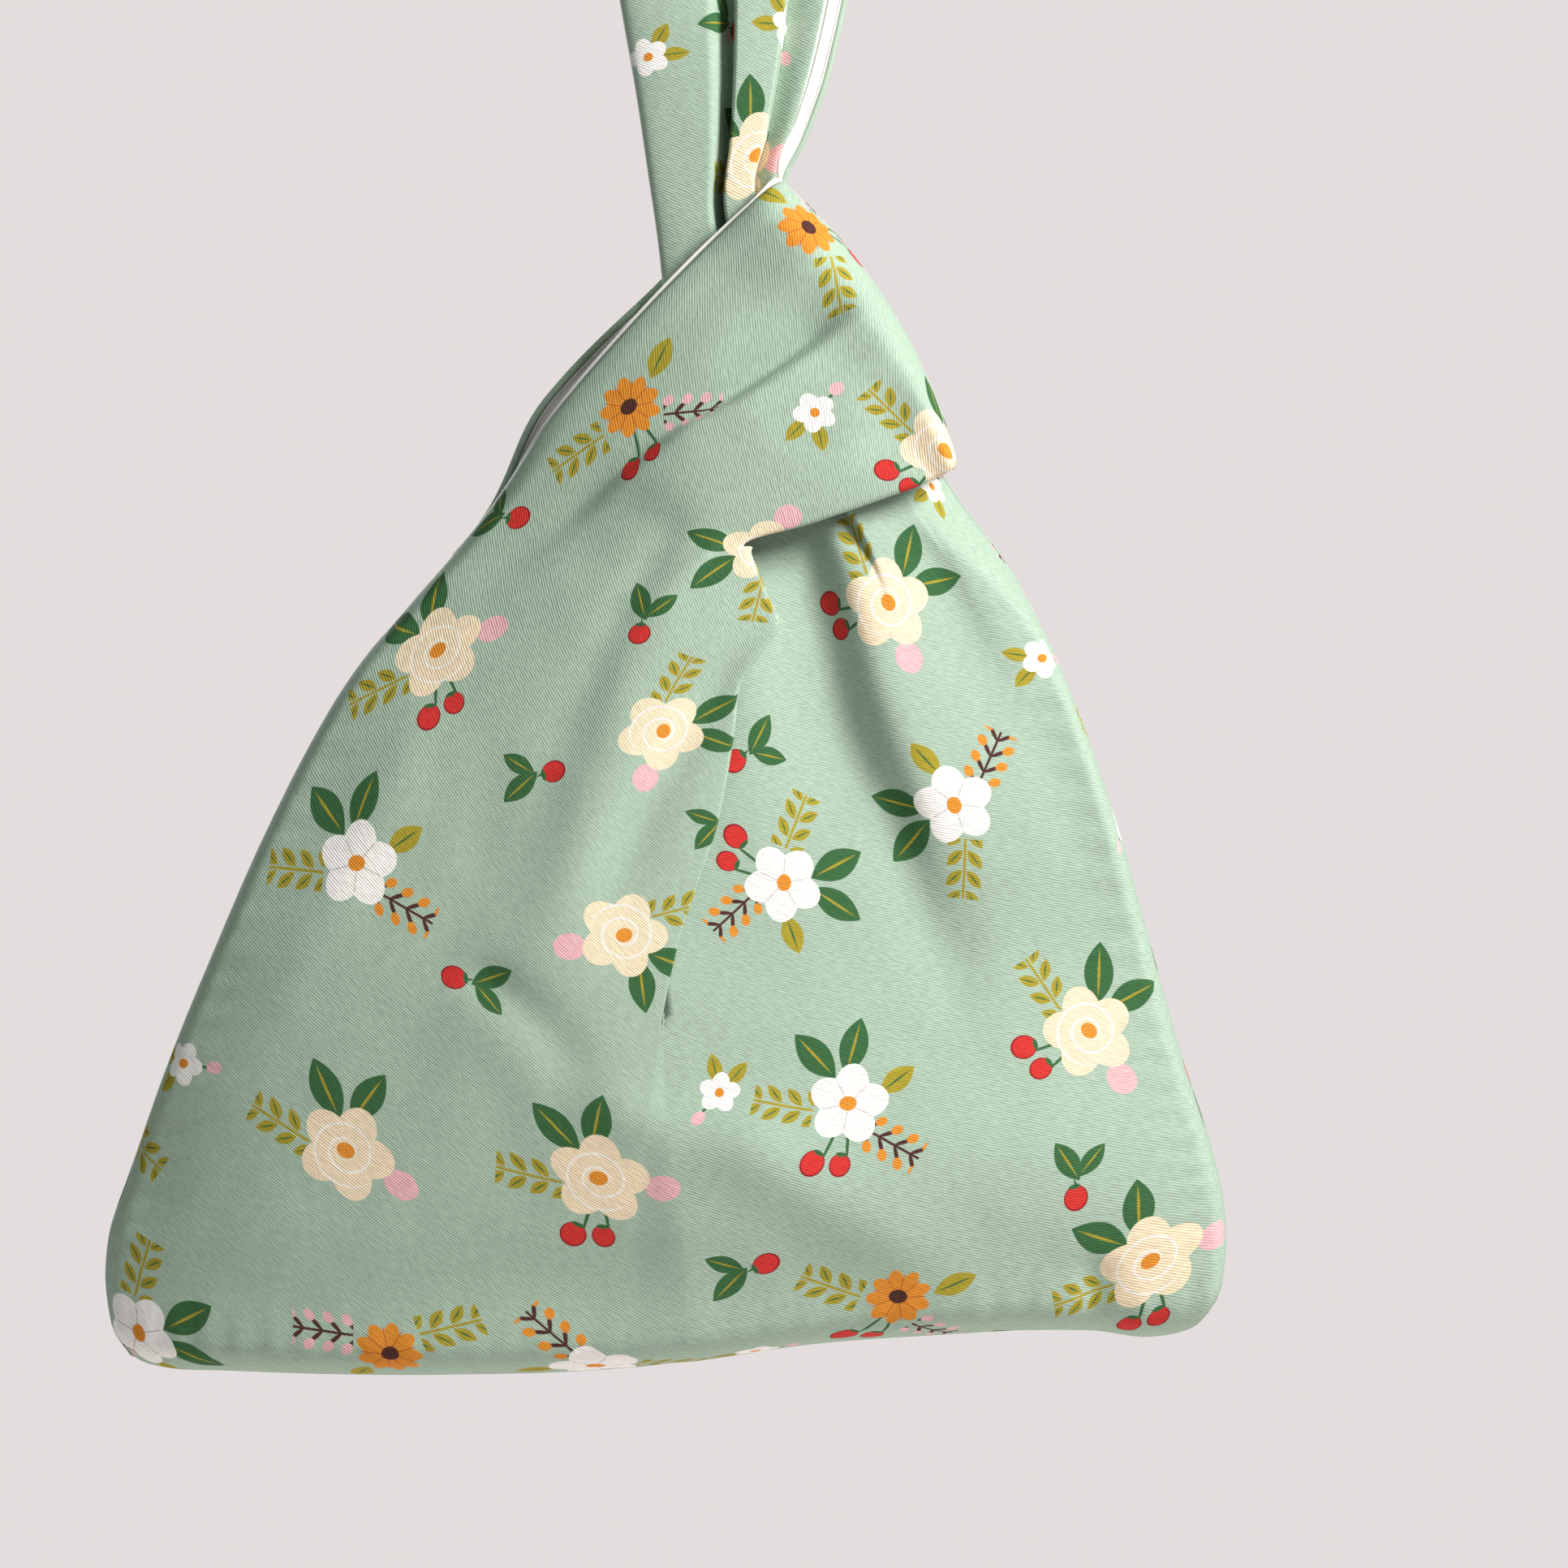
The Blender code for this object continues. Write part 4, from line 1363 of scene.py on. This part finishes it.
@dataclass(frozen=True)
class Spot(Field):
    """A place on the flat cloth, in millimetres, as a vector."""

    def about(self, x: float, y: float, turn: float = 0.0, size: Pair = (1.0, 1.0)) -> "Spot":
        """The same place in a frame of its own.

        Args:
            x: The frame's place.
            y: The frame's place.
            turn: How far it is turned, in degrees.
            size: What counts as one along its two axes.

        Returns:
            The place, measured in that frame.
        """
        inputs = {
            "Vector": self,
            "Location": (x, y, 0),
            "Rotation": (0, 0, math.radians(turn)),
            "Scale": (*size, 1),
        }
        return Spot(add_node(self.tree, "ShaderNodeMapping", inputs, vector_type="TEXTURE").outputs[0])

    def out_at(
        self, angle: float, distance: float, turn: float = 0.0, size: Pair = (1.0, 1.0)
    ) -> "Spot":
        """A frame at an angle and a distance from here, turned outwards and then by turn."""
        x, y = distance * math.cos(math.radians(angle)), distance * math.sin(math.radians(angle))
        return self.about(x, y, angle + turn, size)

    def parts(self) -> tuple[Field, Field]:
        """The two coordinates."""
        node = add_node(self.tree, "ShaderNodeSeparateXYZ", {"Vector": self})
        return Field(node.outputs["X"]), Field(node.outputs["Y"])

    def distance(self) -> Field:
        """How far away the frame's middle is."""
        node = add_node(self.tree, "ShaderNodeVectorMath", {0: self}, operation="LENGTH")
        return Field(node.outputs["Value"])

    def turned(self, angle: Field) -> "Spot":
        """The place in a frame that is turned by an angle in radians."""
        inputs = {"Vector": self, "Angle": angle}
        return Spot(add_node(self.tree, "ShaderNodeVectorRotate", inputs, rotation_type="Z_AXIS").outputs[0])

    def gone_where(self, hidden: Field) -> "Spot":
        """The place, moved out of every motif's reach where hidden is 1."""
        inputs = {0: hidden, 1: (FAR, FAR, 0), 2: self}
        return Spot(add_node(self.tree, "ShaderNodeVectorMath", inputs, operation="MULTIPLY_ADD").outputs[0])


@dataclass
class Cells:
    """An uneven lattice with a motif in each cell."""

    pitch: float
    jitter: float

    def around(self, spot: Spot) -> tuple[Field, Spot, list[Field]]:
        """The nearest cell to a place.

        Args:
            spot: The place.

        Returns:
            The distance from the cell's middle in pitches, the middle, and three random numbers of the cell.
        """
        inputs = {"Vector": spot, "Scale": 1 / self.pitch, "Randomness": self.jitter}
        node = add_node(spot.tree, "ShaderNodeTexVoronoi", inputs, voronoi_dimensions="2D", feature="F1")
        colour = add_node(spot.tree, "ShaderNodeSeparateColor", {0: Field(node.outputs["Color"])})
        chances = [Field(socket) for socket in colour.outputs]
        return Field(node.outputs["Distance"]), Spot(node.outputs["Position"]), chances

    def local(self, spot: Spot) -> tuple[Spot, Spot, list[Field]]:
        """A place as the nearest cell's motif has it.

        Args:
            spot: The place.

        Returns:
            The place in the cell's own turned frame, the cell's middle, and its three random numbers.
        """
        _, middle, chances = self.around(spot)
        offset = add_node(spot.tree, "ShaderNodeVectorMath", {0: spot, 1: middle}, operation="SUBTRACT")
        return Spot(offset.outputs[0]).turned(chances[0] * (2 * math.pi)), middle, chances


@dataclass
class FloralPrint:
    """A generic small floral print, painted motif over motif onto the cloth's ground."""

    tree: Tree
    colour: Field | Ink = Ink.GROUND
    bunches: Cells = field(default_factory=lambda: Cells(52.0, 0.28))
    sprinkles: Cells = field(default_factory=lambda: Cells(22.0, 0.4))
    clear_of_bunch: float = 26.5
    stem: float = 0.3  # half width of the stems
    twig_stem: float = 0.28
    vein_finer: float = 11.0  # how many times narrower than its leaf a vein is
    vein_shorter: float = 1.7
    petals: int = 5
    more_petals: int = 4  # that the orange flower has
    petal_depth: float = 0.3  # how far in a flower's rim comes between petals, as a share of its radius
    radii: Triple = (8.8, 10.0, 6.6)  # of the white flower, the rose and the orange one
    middle: Pair = (1.9, 1.6)
    spiral_pitch: float = 2.05  # turns of the rose's spiral line, in radians a millimetre
    spiral_from: float = 0.9  # where that line is drawn, on a wave from -1 to 1
    spiral_soft: float = 0.6
    spiral_radius: float = 7.4
    parting_radius: float = 5.6
    parting: float = 0.42  # half width of the lines between petals
    rose_to: float = 0.38  # of each motif's random number from 0 to 1, which chooses its kind
    orange_dots_to: float = 0.55
    orange_from: float = 0.7
    berries_to: float = 0.72
    berried_from: float = 0.6

    def either(self, first: Field | Ink, second: Field | Ink, share: Field) -> Field:
        """The first ink, or the second one where share is 1."""
        inputs = {0: share, 6: first, 7: second}
        return Field(add_node(self.tree, "ShaderNodeMix", inputs, data_type="RGBA").outputs[2])

    def paint(self, where: Field, ink: Field | Ink) -> None:
        """Puts an ink over the cloth."""
        self.colour = self.either(self.colour, ink, where)

    def disc(self, spot: Spot, radius: float, ink: Field | Ink) -> None:
        """A round dot about a frame that counts its radius as one."""
        self.paint(spot.distance().below(1, radius), ink)

    def leaf(self, spot: Spot, half_width: float, ink: Ink, vein: Ink | None = None) -> None:
        """A pointed leaf, with or without a vein.

        Args:
            spot: A frame that counts half the leaf's length and half its width as one.
            half_width: Half the leaf's width, in millimetres.
            ink: Its colour.
            vein: Its vein's colour.
        """
        along, aside = spot.parts()
        aside, square = abs(aside), along * along
        self.paint((square + aside).below(1, half_width), ink)
        if vein:
            line = aside.times_plus(self.vein_finer, square * self.vein_shorter)
            self.paint(line.below(1, half_width / self.vein_finer), vein)

    def leaf_at(self, spot: Spot, place: tuple[float, ...], size: Pair, *inks: Ink) -> None:
        """A leaf at an angle, a distance and a turn from a frame. size is half its length and half width."""
        self.leaf(spot.out_at(*place, size), size[1], *inks)

    def bloom(
        self, spot: Spot, radius: Field | float, petals: Field | float, ink: Field | Ink
    ) -> tuple[Field, Field, Field]:
        """A round flower.

        Args:
            spot: The flower's frame, in millimetres.
            radius: Its radius.
            petals: How many petals it has.
            ink: Its colour.

        Returns:
            The distance from its middle, the angle round it, and how near the middle of a petal a place is.
        """
        x, y = spot.parts()
        reach, angle = spot.distance(), y.math("ARCTAN2", x)
        lobes = abs((angle * (petals * 0.5)).math("COSINE"))
        rim = lobes.times_plus(self.petal_depth, 1 - self.petal_depth) * radius
        self.paint((reach - rim).below(0), ink)
        return reach, angle, lobes

    def sprig(self, spot: Spot, half_length: float, pitch: float, ink: Ink, vein: Ink) -> None:
        """A stem with pairs of small leaves.

        Args:
            spot: A frame at the middle of the stem and along it.
            half_length: Half its length.
            pitch: The distance from pair to pair.
            ink: The colour of the stem and the leaves.
            vein: The colour of their veins.
        """
        long, wide, vein_wide = 0.56 * pitch, 0.27 * pitch, 0.04 * pitch
        along, aside = spot.parts()
        aside, within = abs(aside), abs(along).below(half_length)
        self.paint(aside.below(self.stem) * within, ink)
        leaf = self.repeat(along, aside, pitch).about(pitch / 2, pitch / 2, 42, (long, wide))
        lengthwise, across = leaf.parts()
        across, square = abs(across), lengthwise * lengthwise
        self.paint((square + across).below(1, wide) * within, ink)
        self.paint(across.times_plus(7, square * 2).below(1, vein_wide) * within, vein)

    def twig(self, spot: Spot, half_length: float, pitch: float, ink: Ink, dots: Field | Ink) -> None:
        """A stem with pairs of side stems that end in dots.

        Args:
            spot: A frame at the middle of the stem and along it.
            half_length: Half its length.
            pitch: The distance from pair to pair.
            ink: The colour of the stems.
            dots: The colour of the dots.
        """
        middle, dot_radius = 0.36 * pitch, 0.28 * pitch
        dot_place, dot_size = (0.72 * pitch, 0.78 * pitch), (0.34 * pitch, 0.25 * pitch)
        along, aside = spot.parts()
        aside, within = abs(aside), abs(along).below(half_length)
        self.paint(aside.below(self.twig_stem) * within, ink)
        branch = self.repeat(along, aside, pitch)
        lengthwise, across = branch.about(middle, middle, 45, (pitch / 2, 1)).parts()
        line = (lengthwise * lengthwise).times_plus(self.stem, abs(across))
        self.paint(line.below(1.5 * self.stem) * within, ink)
        dot = branch.about(*dot_place, 45, dot_size)
        self.paint(dot.distance().below(1, dot_radius) * within, dots)

    def repeat(self, along: Field, aside: Field, pitch: float) -> Spot:
        """A frame that starts again at every pitch along a stem."""
        inputs = {"X": along.math("WRAP", pitch, 0), "Y": aside}
        return Spot(add_node(self.tree, "ShaderNodeCombineXYZ", inputs).outputs[0])

    def berry(self, spot: Spot, angle: float, distance: float, radius: float) -> None:
        """A red berry with its stem.

        Args:
            spot: The frame that the stem comes from.
            angle: The way to the berry from there, in degrees.
            distance: How far it is.
            radius: Its radius.
        """
        self.leaf_at(spot, (angle + 6, distance * 0.62, 0), (distance * 0.42, 0.34), Ink.LEAF)
        self.disc(spot.out_at(angle, distance, 0, (radius * 1.12, radius)), radius, Ink.WINE)
        self.disc(spot.out_at(angle, distance - 0.12, 0, (radius, radius * 0.88)), radius, Ink.RED)
        self.disc(spot.out_at(angle, distance - radius, 0, (0.5, 1.25)), 0.7, Ink.LEAF)

    def draw_bunches(self, place: Spot) -> None:
        """The bunches of flowers, of three kinds.

        Args:
            place: The place on the cloth.
        """
        spot, _, chances = self.bunches.local(place)
        kind = chances[1]
        orange, rose = kind.above(self.orange_from), kind.math("LESS_THAN", self.rose_to)
        leafy, slender = spot.gone_where(orange), spot.gone_where(rose)
        self.leaf_at(leafy, (-28, 13, 8), (6.6, 3.3), Ink.LEAF, Ink.OLIVE)
        self.leaf_at(leafy, (-68, 12.6, -12), (6.4, 3.1), Ink.LEAF, Ink.OLIVE)
        self.leaf_at(slender, (232, 11.6, 10), (4.6, 2.4), Ink.OLIVE, Ink.LEAF)
        self.sprig(spot.out_at(28, 14.2, -10), 6.6, 4.4, Ink.OLIVE, Ink.LEAF)
        dots = self.either(Ink.PINK, Ink.ORANGE, kind.math("LESS_THAN", self.orange_dots_to))
        self.twig(slender.out_at(165, 13.6, 12), 6.2, 3.9, Ink.BARK, dots)
        berries = spot.gone_where(chances[2].above(self.berries_to))
        self.berry(berries, 88, 14.6, 2.6)
        self.berry(berries, 112, 13.2, 2.3)
        pink = spot.out_at(198, 12.2, 0, (3.5, 3.0)).gone_where(kind.above(self.rose_to))
        self.disc(pink, 3.2, Ink.PINK)
        self.draw_flower(spot, orange, rose)

    def draw_flower(self, spot: Spot, orange: Field, rose: Field) -> None:
        """The flower in the middle of a bunch, which is white unless one of the two fields is 1.

        Args:
            spot: The bunch's frame.
            orange: 1 where the flower is an orange one.
            rose: 1 where it is a cream rose.
        """
        ink = self.either(self.either(Ink.WHITE, Ink.CREAM, rose), Ink.ORANGE, orange)
        white, cream, small = self.radii
        radius = orange.times_plus(small - white, rose.times_plus(cream - white, white))
        petals = orange.times_plus(self.more_petals, self.petals)
        reach, angle, lobes = self.bloom(spot, radius, petals, ink)
        turns = (reach * self.spiral_pitch - angle).math("COSINE")
        line = turns.times_plus(-1, self.spiral_from).below(0, self.spiral_soft)
        spiral = line * reach.below(self.spiral_radius)
        self.paint(spiral * rose, Ink.WHITE)
        parting = (lobes * reach).below(self.parting) * reach.below(self.parting_radius)
        self.paint(parting * rose.times_plus(-1, 1.0), self.either(Ink.SHADE, Ink.RUST, orange))
        self.disc(spot.about(0.2, -0.1, 30, self.middle), 1.7, self.either(Ink.ORANGE, Ink.BARK, orange))

    def draw_sprinkles(self, place: Spot) -> None:
        """The small motifs between the bunches, of two kinds.

        Args:
            place: The place on the cloth.
        """
        spot, middle, chances = self.sprinkles.local(place)
        apart, _, _ = self.bunches.around(middle)
        spot = spot.gone_where(apart.math("LESS_THAN", self.clear_of_bunch / self.bunches.pitch))
        berried = chances[1].above(self.berried_from)
        flowered = spot.gone_where(berried)
        self.leaf_at(flowered, (20, 5.6, 0), (3.4, 1.7), Ink.OLIVE, Ink.LEAF)
        self.leaf_at(flowered, (-35, 5.6, 0), (3.4, 1.6), Ink.OLIVE, Ink.LEAF)
        self.leaf_at(flowered, (150, 4.6, 0), (2.6, self.stem), Ink.LEAF)
        self.disc(flowered.out_at(152, 7.2, 0, (1.7, 1.3)), 1.5, Ink.PINK)
        self.bloom(flowered, 4.6, self.petals, Ink.WHITE)
        self.disc(flowered.about(0, 0, 0, (1.1, 1.0)), 1.0, Ink.ORANGE)
        bare = spot.gone_where(berried.times_plus(-1, 1.0))
        self.leaf(bare.about(2.4, 1.6, 42, (5.0, 2.4)), 2.4, Ink.LEAF, Ink.OLIVE)
        self.leaf(bare.about(3.0, -3.4, -30, (4.2, 2.0)), 2.0, Ink.LEAF, Ink.OLIVE)
        self.berry(bare, 200, 5.4, 2.5)


@dataclass(frozen=True)
class TwillCotton:
    """Cotton twill: a fine slanting weave, slightly uneven."""

    name: str
    pitch: float = 0.54
    slant: float = 55.0
    roughness: float = 0.85
    specular: float = 0.15
    contrast: float = 0.14
    relief: float = 0.045
    strength: float = 0.6
    slubs: float = 2.6  # how much the uneven threads add to the weave's height
    slub_size: Pair = (0.5, 2.2)
    printed: bool = False
    plain: Triple = (0.86, 0.84, 0.80)

    def build(self) -> bpy.types.Material:
        """Makes the finish.

        Returns:
            The material.
        """
        material = bpy.data.materials.new(self.name)
        material.use_nodes = True
        tree = material.node_tree
        shader = tree.nodes["Principled BSDF"]
        place = self.place(tree)
        colour = self.colour(tree, place)
        height, brightness = self.weave(place)
        shaded = add_node(tree, "ShaderNodeVectorMath", {0: colour, "Scale": brightness}, operation="SCALE")
        inputs = {"Strength": self.strength, "Distance": self.relief * MM, "Height": height}
        bump = add_node(tree, "ShaderNodeBump", inputs)
        tree.links.new(shaded.outputs[0], shader.inputs["Base Color"])
        tree.links.new(bump.outputs[0], shader.inputs["Normal"])
        shader.inputs["Roughness"].default_value = self.roughness
        shader.inputs["Specular IOR Level"].default_value = self.specular
        return material

    def place(self, tree: Tree) -> Spot:
        """The place on the cloth: on the print's map, or in the object's own space.

        Args:
            tree: The material's node tree.

        Returns:
            The place, in millimetres.
        """
        if self.printed:
            source = add_node(tree, "ShaderNodeUVMap", {}, uv_map=PRINT_MAP).outputs["UV"]
        else:
            solid = add_node(tree, "ShaderNodeTexCoord", {}).outputs["Object"]
            spread = add_node(tree, "ShaderNodeSeparateXYZ", {0: Field(solid)})
            inputs = {"X": Field(spread.outputs["X"]), "Y": Field(spread.outputs["Z"])}
            source = add_node(tree, "ShaderNodeCombineXYZ", inputs).outputs[0]
        inputs = {0: Field(source), "Scale": 1 / MM}
        return Spot(add_node(tree, "ShaderNodeVectorMath", inputs, operation="SCALE").outputs[0])

    def colour(self, tree: Tree, place: Spot) -> Field | Triple:
        """The cloth's colour before its weave.

        Args:
            tree: The material's node tree.
            place: The place on the cloth.

        Returns:
            One colour, or a field of them.
        """
        if not self.printed:
            return self.plain
        floral = FloralPrint(tree)
        floral.draw_sprinkles(place)
        floral.draw_bunches(place)
        return floral.colour

    def weave(self, place: Spot) -> tuple[Field, Field]:
        """The weave, with its uneven threads.

        Args:
            place: The place on the cloth.

        Returns:
            The weave's height, about from -1 to 1, and the brightness that goes with it.
        """
        across, _ = place.about(0, 0, self.slant, (self.pitch, self.pitch)).parts()
        ribs = (across * (2 * math.pi)).math("SINE")
        inputs = {"Vector": place.about(0, 0, self.slant, self.slub_size), "Scale": 1.0, "Detail": 1.0}
        slubs = Field(add_node(place.tree, "ShaderNodeTexNoise", inputs, noise_dimensions="2D").outputs[0])
        height = slubs.times_plus(self.slubs, ribs - self.slubs / 2)
        return height, height.times_plus(self.contrast, 1.0)


@dataclass(frozen=True)
class SoftLight:
    """A square soft light, placed and aimed in millimetres."""

    name: str
    place: Triple
    target: Triple
    size: float
    power: float
    colour: Triple = (1.0, 0.97, 0.955)

    def build(self) -> None:
        """Adds it to the scene."""
        data = bpy.data.lights.new(self.name, "AREA")
        data.size, data.energy, data.color = self.size * MM, self.power, self.colour
        light = bpy.data.objects.new(self.name, data)
        light.location = Vector(self.place) * MM
        light.rotation_euler = (Vector(self.target) - Vector(self.place)).to_track_quat("-Z", "Y").to_euler()
        bpy.context.scene.collection.objects.link(light)


@dataclass
class Studio:
    """The floor, the lights and the camera."""

    centre_x: float = 11.0
    centre_z: float = -239.0
    distance: float = 1000.0
    frame_width: float = 350.0
    floor_drop: float = 620.0
    floor_radius: float = 900.0
    floor_sides: int = 96
    sensor: float = 36.0
    clip: Pair = (0.05, 20.0)
    backdrop: Triple = (0.776, 0.723, 0.723)
    surround: Triple = (0.282, 0.304, 0.300)  # light from all round
    lights: tuple[SoftLight, ...] = (
        SoftLight("key", (640, -480, 290), (10, -20, -230), 340, 14.5),
        SoftLight("back_fill", (-150, 760, 60), (10, 0, -200), 500, 9.0),
    )

    def build(self) -> None:
        """Makes all of it."""
        self.make_world()
        self.make_floor()
        for light in self.lights:
            light.build()
        self.make_camera()
        bpy.context.scene.view_settings.view_transform = "Standard"

    def make_world(self) -> None:
        """A plain pale surround."""
        world = bpy.data.worlds.new("studio")
        world.use_nodes = True
        tree = world.node_tree
        seen = Field(add_node(tree, "ShaderNodeLightPath", {}).outputs["Is Camera Ray"])
        inputs = {0: seen, 6: (*self.surround, 1), 7: (*self.backdrop, 1)}
        colour = add_node(tree, "ShaderNodeMix", inputs, data_type="RGBA")
        tree.links.new(colour.outputs[2], tree.nodes["Background"].inputs["Color"])
        bpy.context.scene.world = world

    def make_floor(self) -> None:
        """A plain pale round floor, well below the bag."""
        angles = np.linspace(0, 2 * np.pi, self.floor_sides, endpoint=False)
        rim = np.stack([np.cos(angles), np.sin(angles), np.zeros_like(angles)], axis=-1) * self.floor_radius
        rim[:, 2] = -self.floor_drop
        floor = mesh_object("studio_floor", rim, np.arange(self.floor_sides)[None])
        paint = bpy.data.materials.new("floor_paint")
        paint.use_nodes = True
        paint.node_tree.nodes["Principled BSDF"].inputs["Base Color"].default_value = (*self.backdrop, 1)
        floor.data.materials.append(paint)

    def make_camera(self) -> None:
        """A level camera in front of the bag."""
        data = bpy.data.cameras.new("camera")
        data.sensor_width = self.sensor
        data.lens = self.sensor * self.distance / self.frame_width
        data.clip_start, data.clip_end = self.clip
        camera = bpy.data.objects.new("camera", data)
        camera.location = Vector((self.centre_x, -self.distance, self.centre_z)) * MM
        camera.rotation_euler = (math.pi / 2, 0, 0)
        bpy.context.scene.collection.objects.link(camera)
        bpy.context.scene.camera = camera


def main() -> None:
    """Builds every piece in order."""
    logging.basicConfig(level=logging.INFO, format="%(message)s")
    Studio().build()
    printed = TwillCotton("printed_cotton", printed=True).build()
    plain = TwillCotton("lining_cotton", contrast=0.03, relief=0.012, roughness=0.9).build()
    ground = TwillCotton("ground_cotton", contrast=0.06, relief=0.015, plain=Ink.GROUND.value).build()
    tree = edge_tree()
    for drape in (
        Drape(Side.FRONT, FRONT_FOLDS, (BAND_CREASE,), (MAIN_VALLEY, SIDE_VALLEY)),
        Drape(Side.BACK, BACK_FOLDS, (BAND_CREASE,), (BACK_VALLEY,)),
    ):
        side, panel = drape.side, Panel(drape)
        front = side is Side.FRONT
        lining = Lining(panel)
        if not front:
            lining.armhole_shows = lining.strap_arm_shows = -BACK_INSET
        cloth, sheet = panel.build(), lining.build()
        cloth.data.materials.append(printed)
        sheet.data.materials.append(plain)
        edge_roll = EdgeRoll(side, lining.edges, FRONT_ROLL if front else BACK_ROLL)
        roll_finish, roll_slot = (plain, "lining_cotton") if front else (ground, "printed_cotton")
        roll = edge_roll.build(tree, roll_finish)
        for piece, slot in ((cloth, "printed_cotton"), (sheet, "lining_cotton"), (roll, roll_slot)):
            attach(piece, "root")
            LOG.info("%s: %d faces", piece.name, len(piece.data.polygons))
        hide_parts(side.value + "_panel")
        strips = ("short_lining", "long_lining_neck", "long_lining_arm")
        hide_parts(*(f"{strip}_{side.value}" for strip in strips))


if __name__ == "__main__":
    main()
